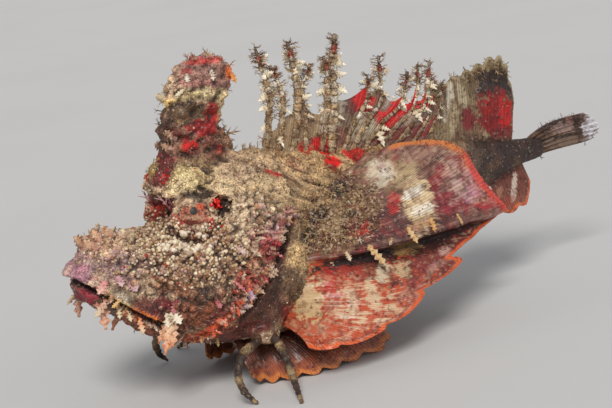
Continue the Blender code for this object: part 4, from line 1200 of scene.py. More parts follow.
# Single growths: root and tip in the photograph's pixels, half width there, how far the tip
# stands off the skin as a share of its length, colour at the root and at the tip.
HEAD_FLAPS = (
    (99, 293, 104, 330, 6, 0.2, (190, 110, 110), (228, 176, 140)),
    (108, 300, 96, 318, 4, 0.3, (200, 130, 110), CREAM),
    (118, 306, 119, 320, 2.6, 0.3, TAN, CREAM),
    (127, 311, 129, 323, 2.6, 0.3, TAN, CREAM),
    (139, 318, 142, 335, 3.2, 0.2, ORANGE, CREAM),
    (172, 316, 166, 355, 5.5, 0.25, (232, 206, 170), (216, 136, 92)),
    (175, 318, 174, 349, 4, 0.35, (236, 216, 184), (222, 150, 106)),
    (168, 320, 160, 345, 4, 0.35, (226, 180, 140), (214, 140, 100)),
    (172, 312, 178, 328, 5, 0.5, CREAM, (246, 238, 220)),
    (166, 314, 170, 328, 4, 0.5, CREAM, (240, 228, 206)),
    (217, 338, 218, 347, 1.6, 0.3, TAN, (226, 190, 110)),
    (194, 279, 199, 292, 4, 0.3, BROWN, (196, 156, 126)),
    (96, 250, 84, 240, 5, 0.3, (200, 150, 130), (222, 180, 140)),
    (100, 242, 92, 230, 4.5, 0.3, (200, 150, 130), (222, 180, 140)),
    (110, 238, 106, 228, 5, 0.3, (190, 140, 120), (222, 180, 140)),
    (120, 238, 124, 229, 4, 0.3, (190, 140, 120), CREAM),
    (130, 240, 136, 232, 3.5, 0.3, SAND, CREAM),
    (106, 282, 100, 296, 5, 0.4, PINK, (226, 180, 160)),
    (130, 282, 138, 292, 5, 0.4, (190, 130, 140), LAVENDER),
    (118, 276, 124, 288, 4, 0.5, (190, 130, 140), LAVENDER),
    (176, 300, 168, 312, 4, 0.4, CRIMSON, PINK),
    (216, 300, 222, 308, 3, 0.4, CRIMSON, PINK),
    (234, 246, 244, 256, 3.6, 0.4, SAND, LAVENDER),
    (255, 206, 268, 206, 3.4, 0.4, (214, 160, 110), LAVENDER),
    (229, 70, 236, 84, 2.6, 0.1, ORANGE, (226, 160, 70)),
    (205, 64, 198, 57, 4, 0.2, RED, ROSE),
    (186, 74, 187, 84, 2.6, 0.5, (200, 186, 170), (240, 232, 214)),
    (211, 70, 212, 81, 2.6, 0.5, (200, 186, 170), (240, 232, 214)),
    (184, 90, 173, 94, 2.2, 0.5, CREAM, (236, 222, 188)),
    (176, 140, 164, 130, 4, 0.3, (150, 104, 90), (190, 150, 120)),
    (174, 150, 161, 144, 4, 0.3, (150, 104, 90), (190, 150, 120)),
    (166, 100, 158, 96, 3.4, 0.3, TAN, CREAM),
)
HEAD_TWIGS = (
    (154, 206, 137, 190, 0, 0.3, ROSE, LAVENDER),
    (156, 204, 148, 188, 0, 0.3, ROSE, LAVENDER),
    (224, 134, 243, 131, 0, 0.2, BROWN, TAN),
    (222, 120, 234, 126, 0, 0.2, BROWN, TAN),
    (236, 172, 230, 158, 0, 0.5, TAN, CREAM),
    (286, 214, 296, 204, 0, 0.3, LAVENDER, LAVENDER),
    (196, 62, 190, 52, 0, 0.3, RED, TAN),
)
# Rows of growths: the line they stand on, how many, the way their tips lean, their length and
# half width in pixels, stand-off, and colours at root and tip.
FRINGES = (
    (((288, 208), (282, 226), (272, 242)), 17, (1, 0.3), 9, 3.2, 0.6, (186, 110, 112), LAVENDER),
    (((272, 240), (268, 262), (262, 274)), 17, (1, 0.5), 9, 3.2, 0.6, (130, 28, 36), (176, 60, 62)),
    (((264, 270), (254, 286), (240, 301)), 15, (1, 0.7), 8, 3, 0.5, (150, 44, 38), (196, 130, 96)),
    (((240, 300), (228, 313), (208, 333)), 13, (0.8, 1), 6, 2.6, 0.35, (190, 64, 34), (214, 96, 48)),
    (((206, 334), (190, 339), (176, 338)), 9, (0, 1), 6, 2.4, 0.35, RUST, (206, 150, 96)),
    (((262, 214), (256, 236), (250, 256)), 12, (1, 0.6), 7, 2.6, 0.8, (160, 110, 90), PALE_SAND),
    (((150, 322), (164, 330), (184, 334)), 8, (0, 1), 6, 2.2, 0.4, (120, 60, 40), (200, 150, 110)),
    (((176, 262), (200, 270), (226, 272)), 10, (-0.2, 1), 6, 2.8, 0.8, (150, 100, 70), (206, 160, 120)),
    (((254, 288), (246, 300), (236, 312)), 6, (0.9, 0.5), 8, 4.4, 0.2, (150, 130, 170), LAVENDER),
    (((108, 292), (122, 306), (142, 320)), 7, (-0.3, 1), 5, 2.6, 0.4, (206, 150, 96), (232, 190, 110)),
    (((244, 270), (236, 286), (230, 304)), 6, (0.9, 0.6), 7, 3.4, 0.5, RED, PINK),
)


def fringe_growths(seed=12):
    draw = random.Random(seed)
    growths = []
    for line, count, (lean_x, lean_y), length, half, lift, root_colour, tip_colour in FRINGES:
        for i in range(count):
            x, y = curve(np.arange(len(line)), line, np.array([i * (len(line) - 1) / (count - 1)]))[0]
            reach = length * draw.uniform(0.6, 1.5)
            swing = draw.uniform(-0.9, 0.9)
            tip_x, tip_y = x + reach * (lean_x - swing * lean_y), y + reach * (lean_y + swing * lean_x)
            tip = draw.choice((tip_colour, tip_colour, PALE_SAND, TAN, SAND, BROWN))
            x, y = x + draw.uniform(-4, 3), y + draw.uniform(-2, 2)
            growths.append((x, y, tip_x, tip_y, half * draw.uniform(0.5, 1.0), lift, root_colour, tip))
    return growths


def in_columns(rows):
    return (np.array(column) for column in zip(*rows))


def plant_marked(name, shape, growths, ground):
    """Plant growths by their pixels on the fish's left, and mirror them to its right."""
    rows = []
    for x, y, tip_x, tip_y, half, lift, root_colour, tip_colour in growths:
        place, face = ground.under(x, y)
        depth = depth_of(place)
        lead = in_view(tip_x - x, tip_y - y, depth)
        length = np.linalg.norm(lead)
        lead += face * lift * length
        size = (2 * half * depth / FOCUS, length * 0.6, length * 1.08) if half else (length,) * 3
        for side in (1, -1):
            if side == -1:
                place, face = ground.nearest(on_side(place, -1))
                lead = on_side(lead, -1)
            rows.append((place - lead * 0.08, lead, BACKWARD * (1, side, 1) + face * 0.3, size,
                         shade(root_colour), shade(tip_colour)))
    places, leads, faces, sizes, roots, tips = in_columns(rows)
    draw = np.random.default_rng(len(growths))
    bend = draw.uniform(-0.6, 0.9, len(places)) * (sizes[:, 2] * 0.3)
    return planted(name, shape, places, leads, sizes, roots, tips, faces, bend)


def flap_finish(name, roughness=0.5):
    place = new_finish(name)
    cloud = place.cloud(1300.0, 4.0)
    tone = cloud.ramp(0.5, 0.68).times(place.paint(), (0.55, 0.4, 0.34, 1))
    tone = (cloud.ramp(0.44, 0.3) * 0.5).mix(tone, (0.86, 0.76, 0.62, 1))
    return close_finish(place, {
        "Base Color": tone, "Roughness": cloud * 0.3 + (roughness - 0.1),
        "Normal": cloud.bump(0.8, 0.0003)})


def standing(points):
    """Where fine cirri stand thickest: the column, nape, gill covers and back."""
    x, _, z = points.T
    column = step(z, 60, 66)
    behind = behind_gill(points)
    cover = step(behind, -16, -6) * step(behind, 3, 0) * step(z, 60, 52)
    back = step(z, 46, 52) * step(x, 44, 56) * step(x, 132, 112)
    shoulder = step(x, 56, 62) * step(x, 90, 78) * step(z, 18, 24) * 0.5
    fringed = sum(zone(*ellipse)(points) for ellipse in FRINGED_ZONES)
    thick = 0.08 + column + 0.7 * cover + 0.6 * back + shoulder + fringed
    return clear_of_eyes(points) * np.clip(thick, 0, 1)


def make_cirri():
    places, faces = ground.scatter(CIRRUS_COUNT, standing, CIRRUS_SPACING, 15)
    draw = np.random.default_rng(5)
    count = len(places)
    leads = faces + 0.7 * draw.standard_normal((count, 3)) + (0.3, 0, 0.2)
    base = body_colours(places) * 0.8
    tips = base * 0.5 + 0.5 * pick((CREAM, TAN, PINK, (236, 226, 206)), (4, 4, 1, 1), count, 2)
    length = 1.3 + 1.5 * draw.random(count) ** 2
    return planted(
        "skin_cirri", cirrus, places, leads, length, base, tips, np.roll(faces, 1, axis=1))


def overgrown(name, things, shape, count, spacing, wanted, lengths, coloured, seed):
    """Small growths at random over pieces, more where wanted(points) is near 1."""
    draw = np.random.default_rng(seed)
    places, faces = Ground(*things).scatter(count, wanted, spacing, seed)
    sizes = lengths[0] + (lengths[1] - lengths[0]) * draw.random(len(places)) ** 2
    roots = coloured(places) * draw.uniform(0.7, 1.3, (len(places), 1))
    leads = faces + 0.6 * draw.standard_normal(faces.shape)
    growths = planted(
        name, shape, places, leads, sizes, roots * 0.8, np.minimum(roots * 1.15, 0.85),
        np.roll(faces, 1, axis=1))
    growths.data.materials.append(flap_skin)
    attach(growths, "root")
    return growths


def tinted(*colours):
    return lambda points: pick(colours, [1] * len(colours), len(points), 7, 0.1)


flap_skin = flap_finish("flap_skin")
for piece in (
        plant_marked("skin_flaps", flap, HEAD_FLAPS + tuple(fringe_growths()), ground),
        plant_marked("snout_cirri", cirrus, HEAD_TWIGS, ground),
        make_cirri()):
    piece.data.materials.append(flap_skin)
    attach(piece, "root")


# The pectoral fins
# Each is a fan of rays in thin skin, folded along one ray: the upper blade lies over the flank
# and the lower one flares out under it. The web is finely ribbed, and its margin is orange.

# Each row is one ray of the fan: its share of the way down, then root, bend and tip.
PECTORAL_RAYS = (
    (0.00, (66, 15, 42), (72, 20, 50), (86, 12.5, 54)),
    (0.08, (66, 15, 40.5), (76, 22, 50), (97, 12.5, 57.6)),
    (0.16, (65, 15, 39), (80, 24, 48), (110, 13, 57.6)),
    (0.24, (64, 15, 37.5), (84, 26, 45), (120.5, 13, 55.6)),
    (0.32, (63, 15, 36), (86, 28, 41), (127.5, 13.5, 50.2)),
    (0.40, (62, 15, 34.5), (88, 30, 36), (132, 15.5, 39.5)),
    (0.46, (62, 15, 33), (90, 33, 32.4), (137.5, 16.6, 31.6)),
    (0.52, (61, 15, 31), (88, 26, 29), (134.5, 15.5, 29)),
    (0.60, (60, 15, 28), (84, 32, 26), (121, 23, 26.4)),
    (0.68, (59, 15, 25), (80, 34, 22), (111, 28, 21.8)),
    (0.76, (58, 15, 22), (76, 35, 18), (97, 32, 17.6)),
    (0.84, (57, 15, 20), (71, 35, 15), (84, 35, 12.6)),
    (0.92, (56, 15, 18), (64, 32, 13.5), (68, 34, 9.6)),
    (1.00, (55.5, 15, 16), (58, 25, 14), (57, 29, 9.8)),
)
PECTORAL_COUNT = 14
GRAIN_COLOUR = (230, 200, 166)
FOLD = 0.47
# The lower blade's margin swells in lobes, and is drawn back to a notch between each two.
LOBE_ENDS = (0.5, 0.64, 0.745, 0.85, 0.935, 1.0)
LOBE_DEPTH = 0.12
UPPER_MARKS = (
    (404, 222, 62, 26, -14, (96, 50, 46), 0.9), (424, 160, 40, 12, 4, (166, 124, 108), 0.8),
    (392, 176, 36, 20, 10, (150, 118, 86), 0.9), (404, 176, 14, 15, -10, (196, 170, 126), 0.9),
    (446, 178, 24, 22, 30, (122, 78, 68), 0.9), (452, 168, 8, 7, 20, (206, 170, 156), 0.6),
    (458, 186, 6, 9, 20, (210, 170, 168), 0.6), (437, 178, 6, 16, 20, (160, 34, 40), 0.85),
    (446, 198, 20, 7, 14, CRIMSON, 0.8), (456, 206, 34, 6, -6, (150, 40, 52), 0.8),
    (474, 184, 7, 18, -18, (206, 130, 140), 0.8), (470, 196, 9, 7, 0, (206, 150, 166), 0.6),
    (466, 160, 9, 9, 40, (206, 110, 96), 0.7), (394, 203, 6, 12, 10, (196, 40, 32), 0.9),
    (384, 222, 8, 5, -20, (150, 44, 40), 0.6), (360, 229, 13, 7, -20, SCARLET, 0.9),
    (372, 236, 8, 4, -20, (140, 36, 40), 0.7), (378, 244, 34, 5, -18, (90, 54, 50), 0.7),
    (326, 216, 34, 34, -20, (166, 136, 98), 0.9), (352, 204, 18, 12, -30, (170, 140, 100), 0.8),
    (372, 208, 14, 8, -30, (150, 116, 86), 0.7), (338, 189, 10, 9, -20, BLACK, 1),
    (318, 215, 10, 8, -20, DARK, 0.9), (350, 214, 9, 4, -30, DARK, 0.7),
    (308, 235, 9, 7, -30, BLACK, 0.95), (352, 226, 12, 7, -30, (130, 50, 46), 0.8),
    (330, 226, 12, 7, -30, (206, 178, 134), 0.8), (326, 238, 7, 5, -20, (96, 28, 28), 0.9),
    (340, 244, 8, 5, -20, (110, 30, 32), 0.8), (330, 252, 22, 8, -20, (150, 112, 80), 0.8),
    (334, 260, 5, 5, 0, (240, 226, 196), 0.9), (380, 172, 13, 14, -30, (238, 224, 194), 0.95),
    (382, 168, 5, 8, -30, (244, 238, 222), 0.8), (419, 205, 15, 26, -10, (228, 202, 156), 1),
    # The two near-white streaks here are painted highlight on the cream patch.
    (414, 193, 11, 5, -24, (252, 246, 230), 0.9), (424, 209, 11, 5, -20, (252, 244, 224), 0.9),
    (422, 223, 12, 4, -22, (176, 124, 78), 0.7), (488, 203, 12, 6, 0, (170, 24, 40), 0.95),
)
LOWER_MARKS = (
    (440, 246, 50, 26, -34, (112, 46, 38), 0.9), (470, 226, 30, 14, -26, (116, 32, 34), 0.9),
    # The near-black bands (424, 238) and (366, 256) are painted shadow under the fold of the upper
    # blade.
    (366, 262, 50, 10, -14, (92, 44, 36), 0.8), (424, 238, 60, 12, -18, (52, 26, 22), 0.9),
    (366, 256, 60, 7, -16, (44, 26, 22), 0.9), (406, 247, 13, 7, -20, (150, 118, 72), 0.9),
    (376, 272, 26, 8, -5, (120, 66, 46), 0.7), (383, 272, 6, 11, 16, (222, 206, 174), 0.9),
    (401, 270, 8, 8, -34, (206, 180, 140), 0.85), (412, 290, 14, 7, -30, (150, 70, 66), 0.7),
    (446, 252, 5, 5, -30, (206, 170, 156), 0.7), (436, 266, 9, 4, -30, (196, 140, 130), 0.6),
    (420, 268, 6, 5, -30, (150, 50, 48), 0.7), (331, 288, 9, 18, -10, (196, 46, 30), 0.9),
    (350, 272, 14, 6, 0, (186, 50, 32), 0.7), (352, 300, 5, 12, -14, (236, 216, 180), 0.7),
    (372, 296, 6, 13, -14, (232, 210, 172), 0.7), (306, 326, 22, 9, 10, (214, 130, 100), 0.5),
    (307, 299, 14, 21, 0, (224, 190, 138), 1), (308, 286, 12, 5, -6, (240, 214, 168), 0.8),
    (298, 262, 12, 14, 0, (216, 180, 128), 0.95),
)


def ray_surface(rows, side, reach):
    """The middle of a fin along curved rays, where u goes across them and v out along each."""
    rays = [(row[0], *np.concatenate([on_side(point, side) for point in row[1:]])) for row in rows]

    def place(u, v):
        root, bend, tip = np.split(read_rows(rays, u).T, 3, axis=1)
        v = reach(u, v)[:, None]
        return root * (1 - v) ** 2 + bend * 2 * v * (1 - v) + tip * v ** 2
    return place


def crest_share(u, rays):
    """1 on the crest of each ray and 0 halfway between two."""
    return np.sin(np.pi * rays * u) ** 2


def between_rays(rays, depth):
    """Draw the margin back between the rays, by a share of the fin's reach."""
    return lambda u, v: v * (1 - depth * (1 - crest_share(u, rays) ** 0.6))


def scalloped(u, v):
    """Draw the margin back between the lobes of the lower blade, and at its notch."""
    low = np.searchsorted(LOBE_ENDS, u, side="right").clip(1, len(LOBE_ENDS) - 1)
    starts, ends = np.take(LOBE_ENDS, low - 1), np.take(LOBE_ENDS, low)
    across = ((u - starts) / (ends - starts)).clip(0, 1)
    return v * (1 - LOBE_DEPTH * np.abs(np.where(low == 1, across, across * 2 - 1)) ** 2.6)


def values_of(thing, name):
    values = np.empty(len(thing.data.vertices))
    thing.data.attributes[name].data.foreach_get("value", values)
    return values


def make_fin(name, columns, rows, place, rays, web, crest, flutter=0.0, seed=0):
    """A thin fin over its rays, thicker along each ray, with its margin's distance in millimetres."""
    def waved(u, v):
        points = place(u, v)
        ahead = place(np.minimum(u + 0.01, 1), v) - place(np.maximum(u - 0.01, 0), v)
        out = place(u, np.minimum(v + 0.01, 1)) - place(u, np.maximum(v - 0.01, 0))
        wave = flutter * v ** 1.5 * rough(points, 7, seed)
        return points + unit(np.cross(ahead, out)) * wave[:, None]
    fin = shaped_grid(name, columns, rows, waved)
    u, v = values_of(fin, "u"), values_of(fin, "v")
    length = np.linalg.norm(place(u, np.ones_like(u)) - place(u, np.zeros_like(u)), axis=1)
    fin.data.attributes.new("edge", "FLOAT", "POINT").data.foreach_set("value", length * (1 - v))
    group = fin.vertex_groups.new(name="crests")
    for i, weight in enumerate(crest_share(u, rays) ** 3 * (1 - 0.55 * v)):
        group.add([i], float(weight), "REPLACE")
    worked(fin, "SOLIDIFY", thickness=crest * MM, offset=0, vertex_group="crests",
           thickness_vertex_group=web / crest)
    alone(fin)
    bpy.ops.object.shade_smooth_by_angle(angle=math.radians(60))
    return fin


def fin_finish(name, ribs, roughness, shine):
    """Thin fin skin with fine ribs along the rays, darkened between the ribs as painted shade, and
    granular specks.
    """
    place = new_finish(name)
    across = place.node("Attribute", output="Fac", attribute_name="u")
    wave = across * (2 * math.pi * ribs) + place.cloud(120.0, 2.0) * 5.0
    lines = wave.maths("SINE", wave)
    far, light = place.cells(1700.0), place.cells(1700.0, "Color").part("Red")
    cloud = place.cloud(420.0, 5.0, 0.65)
    tone = place.paint()
    # The troughs between the ribs are darkened, as painted shade.
    tone = (lines.ramp(0.1, -0.9) * 0.55).times(tone, (0.62, 0.5, 0.45, 1))
    tone = (cloud.ramp(0.48, 0.62) * 0.75).times(tone, (0.5, 0.38, 0.34, 1))
    tone = (light.ramp(0.86, 0.98) * cloud.ramp(0.45, 0.55) * 0.22).mix(tone, (0.76, 0.62, 0.5, 1))
    tone = (light.ramp(0.14, 0.03) * cloud.ramp(0.4, 0.55)).times(tone, (0.45, 0.32, 0.28, 1))
    return close_finish(place, {
        "Base Color": tone, "Roughness": cloud * 0.35 + (roughness - 0.17),
        "Normal": (lines * 0.35 - far * 0.6 + cloud).bump(0.9, 0.00022),
        "Coat Weight": shine, "Coat Roughness": 0.2})


def upper_colours(points):
    return marked(points, all_over(points, (124, 78, 66)), UPPER_MARKS, 0.34, 3)


def paint_pectoral(fin):
    points = places_of(fin)
    u, v, edge = values_of(fin, "u"), values_of(fin, "v"), values_of(fin, "edge")
    along = np.column_stack((u * 110, v * 7, np.full_like(u, 0.5)))
    streaks = rough(along, 1.0, 2) + 0.7 * rough(points, 2.2, 14)
    mottled = step(rough(points, 1.1, 12) + 0.6 * rough(points, 3.4, 13), 0.12, 0.45)
    grain = step(rough(points, 1.3, 8), 0.05, 0.4) * step(edge, 14, 8) * step(edge, 1, 2)
    rim = step(edge + 0.6 * rough(points, 2.0, 6), 2.8, 1.6)
    seen_x = seen_at(points)[0]
    blotches = step(rough(points, 2.6, 15), 0.15, 0.4) * (1 - zone(408, 196, 32, 36)(points))
    upper = layered(upper_colours(points), ((190, 150, 130), 0.35 * step(streaks, 0.2, 0.4)))
    upper *= 1 - 0.3 * step(streaks, -0.1, -0.4)[:, None]
    rim_colour = layered(all_over(points, (226, 132, 62)), ((214, 66, 52), step(seen_x, 452, 474)))
    upper = layered(
        upper,
        ((204, 160, 148), 0.55 * mottled * zone(464, 184, 36, 34)(points)),
        ((150, 30, 40), 0.5 * blotches),
        (GRAIN_COLOUR, 0.4 * grain),
        (rim_colour, 0.9 * rim * step(seen_x, 384, 396)))
    lower = layered(
        all_over(points, (198, 80, 40)),
        ((232, 206, 168), 0.85 * step(streaks, 0.04, 0.3) * zone(366, 300, 42, 34)(points)))
    lower = layered(
        marked(points, lower, LOWER_MARKS, 0.5, 4),
        ((224, 190, 152), 0.55 * mottled * zone(350, 310, 74, 40)(points)),
        (GRAIN_COLOUR, 0.4 * grain),
        ((226, 98, 40), 0.95 * rim),
        ((140, 50, 34), 0.6 * groove(edge - 3.8, 1.2)))
    give_paint(fin, layered(upper, (lower, step(u, FOLD - 0.008, FOLD + 0.012))))


pectoral_skin = fin_finish("ribbed_fin_skin", PECTORAL_COUNT * 9, 0.5, 0.25)
pectorals = []
for name, side in SIDES:
    fin = make_fin(
        "pectoral_blades_" + name, 196, 84, ray_surface(PECTORAL_RAYS, side, scalloped),
        PECTORAL_COUNT, 0.5, 1.3, 1.1, 5)
    paint_pectoral(fin)
    fin.data.materials.append(pectoral_skin)
    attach(fin, "root")
    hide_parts("pectoral_fin_" + name)
    pectorals.append(fin)


def on_shoulder(points):
    """The shoulder end of the upper blade, on its outer face."""
    return zone(328, 212, 54, 40)(points) * step(points[:, 2], 30, 34)


def sandy_upper(points):
    return 0.7 * upper_colours(points) + 0.3 * tinted(TAN, SAND, SAND, BROWN)(points)


# Cirri that hang from the fold: root and tip in pixels, half width, stand-off, colours.
FOLD_CIRRI = (
    (369, 246, 383, 272, 3.6, 0.5, (206, 166, 110), (214, 180, 130)),
    (408, 228, 414, 248, 3.2, 0.5, (206, 166, 110), (214, 180, 130)),
    (431, 218, 431, 234, 2.6, 0.5, (196, 150, 90), (206, 150, 80)),
    (457, 214, 460, 226, 1.6, 0.4, (196, 150, 90), TAN),
    (392, 238, 388, 246, 2, 0.4, TAN, SAND),
    (346, 252, 350, 262, 2.4, 0.4, TAN, PALE_SAND),
    (332, 262, 330, 272, 2.4, 0.4, TAN, PALE_SAND),
)
fold_cirri = plant_marked("fold_cirri", flap, FOLD_CIRRI, Ground(*pectorals))
fold_cirri.data.materials.append(flap_skin)
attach(fold_cirri, "root")
for piece in (
        fold_cirri,
        overgrown("fin_fuzz", pectorals, cirrus, 1100, 0.8, on_shoulder, (1.4, 3.4),
                  tinted(TAN, SAND, (206, 176, 130), PALE_SAND, BROWN), 31),
        overgrown("fin_grains", pectorals, grain, 4600, 0.55, on_shoulder, (0.4, 1.6),
                  sandy_upper, 32)):
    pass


# The walking rays
# Two free rays under each pectoral fin carry the front of the fish. Each is a bent, tapering
# finger of banded skin whose tip rests on the floor.

WALKING_RAYS = (
    ((48, 15, 15), (45, 20.5, 14.6), (38.5, 24.5, 13.4),
     (34.6, 27.5, 9), (35.2, 29, 4), (38, 29.6, 0.5)),
    ((51, 15, 14), (50.6, 20.5, 14), (50.4, 25, 11.4),
     (49.4, 30, 7.4), (48, 35, 3), (46.4, 40, 0.5)),
)
WALKING_RADII = (1.8, 1.25, 1.15, 1.05, 0.85, 0.4)


def make_walking_ray(name, number, side, points):
    points = np.array([on_side(point, side) for point in points])
    ray = rolled(f"walking_ray_{number}_skin_{name}", 24, 150, limb_ring(points, WALKING_RADII))
    worked(ray, "SUBSURF", levels=1, render_levels=1)
    v, places = values_of(ray, "v"), places_of(ray)
    rings = 0.16 * np.abs(np.sin(v * 46)) ** 3
    rings = rings + 0.25 * rough(places, 1.6, number) + 0.12 * rough(places, 0.7, 5)
    places += vertex_rows(ray, "normal") * rings[:, None]
    places[:, 2] = np.maximum(places[:, 2], 0.0)
    move_to(ray, places)
    give_paint(ray, layered(
        all_over(places, (64, 46, 34)),
        ((116, 94, 66), step(np.sin(v * 21 + 1.4 * rough(places, 3, 2)), -0.1, 0.5)),
        ((176, 152, 112), 0.6 * step(np.sin(v * 21 + 0.5), 0.7, 1.0)),
        (BROWN, 0.7 * step(v, 0.25, 0.1))))
    ray.data.shade_smooth()
    ray.data.materials.append(walking_skin)
    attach(ray, "root")
    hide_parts(f"walking_ray_{number}_{name}")


walking_skin = skin_finish("banded_skin", 2600.0, 0.0002, 0.55)
for name, side in SIDES:
    for number, points in enumerate(WALKING_RAYS, 1):
        make_walking_ray(name, number, side, points)


# The pelvic fins
# Broad orange lobes of ribbed skin, spread flat under the belly. The fish rests on their
# margins, so these are pressed flat on the floor.

PELVIC_ROWS = (
    (0, (44, 6, 14), (43, 13, 9), (45, 15, 1.9)),
    (0.2, (48, 6, 13), (49, 17, 9), (50, 17.5, 0.4)),
    (0.45, (56, 6, 12), (58, 20, 9), (62, 22, 0.4)),
    (0.7, (65, 6, 12), (70, 20, 9), (76, 21, 0.4)),
    (0.88, (72, 6, 12), (80, 15, 10), (90, 17, 0.4)),
    (1, (76, 4, 12), (84, 8, 10), (94, 10, 3)),
)
PELVIC_COUNT = 8


def make_pelvic(name, side):
    surface = ray_surface(PELVIC_ROWS, side, between_rays(PELVIC_COUNT, 0.08))
    fin = make_fin("pelvic_lobe_" + name, 120, 44, surface, PELVIC_COUNT, 0.7, 1.9, 0.5, 9)
    points = places_of(fin)
    points[:, 2] = np.maximum(points[:, 2], 0.0)
    move_to(fin, points)
    edge = values_of(fin, "edge")
    give_paint(fin, layered(
        all_over(points, (160, 80, 44)),
        ((62, 28, 20), 0.9 * step(edge, 3, 9)),
        ((90, 50, 36), 0.6 * step(rough(points, 3.2, 7), 0.1, 0.5)),
        ((226, 134, 62), 0.85 * step(edge, 2.4, 1.0))))
    fin.data.materials.append(pelvic_skin)
    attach(fin, "root")
    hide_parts("pelvic_fin_" + name)


pelvic_skin = fin_finish("orange_fin_skin", PELVIC_COUNT * 7, 0.5, 0.2)
for name, side in SIDES:
    make_pelvic(name, side)


# The soft dorsal fin, the tail fin and the anal fin
# Upright fins of thin skin over soft rays. The soft dorsal is olive with a dark and a red
# band, the tail fin is half folded and banded, and the anal fin is red-brown with orange tips.

SOFT_DORSAL_COUNT = 8
CAUDAL_COUNT = 6
ANAL_COUNT, ANAL_LOBES = 11, 5
# The columns of the trunk's rows that fins stand on: its back and its belly.
ON_BACK, ON_BELLY = 0, 1
# Place of the base, then of the margin, along the fish, and the margin's height.
SOFT_DORSAL = ((121.8, 127.6, 70), (141, 142.8, 73), (149, 155.8, 73.6), (154.5, 158, 61.5))
SOFT_DORSAL_MARKS = (
    (440, 120, 8, 40, 8, (120, 96, 68), 0.8), (480, 70, 44, 8, -12, (120, 100, 66), 0.9),
    (452, 100, 16, 50, 6, (150, 130, 98), 0.7), (449, 82, 6, 16, -14, (206, 198, 176), 0.85),
    (440, 90, 4, 14, -18, (190, 180, 150), 0.7), (462, 96, 4, 20, -10, (196, 184, 152), 0.6),
    (456, 118, 5, 18, 8, (190, 176, 140), 0.6), (484, 140, 5, 12, -8, (196, 176, 140), 0.5),
    (470, 128, 12, 18, 0, (112, 76, 52), 0.6), (496, 74, 24, 10, -14, (140, 120, 84), 0.9),
    (492, 84, 22, 14, -6, (46, 26, 22), 0.97), (512, 80, 5, 30, 0, (46, 30, 24), 0.8),
    (496, 113, 17, 22, -6, (138, 14, 18), 0.97), (505, 112, 7, 15, 0, (206, 20, 16), 0.7),
    (488, 106, 5, 8, 0, (190, 24, 20), 0.5), (468, 118, 7, 12, -10, (120, 18, 24), 0.95),
    (502, 135, 15, 6, -6, (120, 28, 32), 0.8), (470, 146, 24, 12, 0, (96, 66, 46), 0.8),
    (494, 146, 24, 8, 0, (66, 40, 32), 0.8), (476, 78, 5, 16, 6, (120, 96, 64), 0.8),
    (447, 106, 3, 16, 8, (206, 198, 176), 0.8), (444, 92, 1.6, 26, -8, (96, 66, 44), 0.8),
    (455, 90, 1.6, 24, -10, (110, 80, 54), 0.8), (459, 124, 2, 20, 6, (110, 76, 50), 0.7),
    (434, 84, 5, 10, -20, (196, 186, 160), 0.8), (436, 112, 5, 12, 0, (110, 60, 46), 0.6),
)
# The tail fin's upper, middle and lower edges: where each starts and ends.
CAUDAL = ((160, 46.2, 185, 50.6), (160, 43.4, 190, 45), (160, 40.2, 187.4, 41.2))
CAUDAL_MARKS = (
    (532, 146, 24, 14, -14, (112, 82, 62), 0.9), (556, 124, 18, 7, -20, (70, 48, 40), 0.9),
    (564, 128, 13, 6, -10, (196, 168, 160), 0.6), (572, 118, 7, 8, -20, (160, 120, 110), 0.8),
    (578, 124, 5, 14, -10, (84, 56, 50), 0.85), (592, 124, 9, 14, 0, (238, 238, 246), 0.97),
    (548, 140, 30, 2.6, -12, (56, 40, 34), 0.9), (562, 142, 22, 5, -8, (150, 128, 110), 0.7),
)
ANAL = ((113, 116, 19), (128, 132, 21.5), (142, 146, 24.8), (152, 156.5, 25), (157, 160.5, 31.5))
ANAL_MARKS = (
    (505, 180, 26, 18, -10, (112, 56, 44), 0.8), (514, 188, 2.6, 16, 4, (222, 206, 190), 0.8),
    (500, 196, 3, 10, 0, (190, 140, 110), 0.5), (489, 188, 2.2, 2.4, 0, (250, 244, 230), 1),
    (484, 190, 2, 2, 0, (250, 244, 230), 1), (494, 206, 24, 8, -10, (150, 60, 44), 0.6),
)


def median_surface(keys, rows, trunk_edge, sink, bow, reach):
    """The middle of an upright fin: each row has the place of its base and of its margin."""
    def place(u, v):
        base, tip_x, tip_z = curve(keys, rows, u).T
        v = reach(u, v)
        root_z = read_rows(TRUNK_ROWS, base)[trunk_edge] + sink
        return np.column_stack((
            base + (tip_x - base) * v, bow * np.sin(np.pi * u) * v, root_z + (tip_z - root_z) * v))
    return place


def caudal_surface(u, v):
    x0, z0, x1, z1 = curve([0, 0.5, 1], CAUDAL, u).T
    ragged = v * (1 - 0.05 * (1 - crest_share(u, CAUDAL_COUNT)))
    lift = 1.6 * np.sin(np.pi * v) * (1 - u)
    return np.column_stack((
        x0 + (x1 - x0) * ragged, 0.8 * np.sin(6 * v), z0 + (z1 - z0) * ragged + lift))


def finish_fin(fin, colour, marks, rim_colour, rim, node):
    points = places_of(fin)
    colours = marked(points, all_over(points, colour), marks, 0.34, 6)
    share = step(values_of(fin, "edge") + 0.5 * rough(points, 1.6, 3), rim + 0.7, rim - 0.5)
    give_paint(fin, layered(colours, (rim_colour, 0.85 * share)))
    fin.data.materials.append(olive_fin_skin)
    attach(fin, "root")
    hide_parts(node)


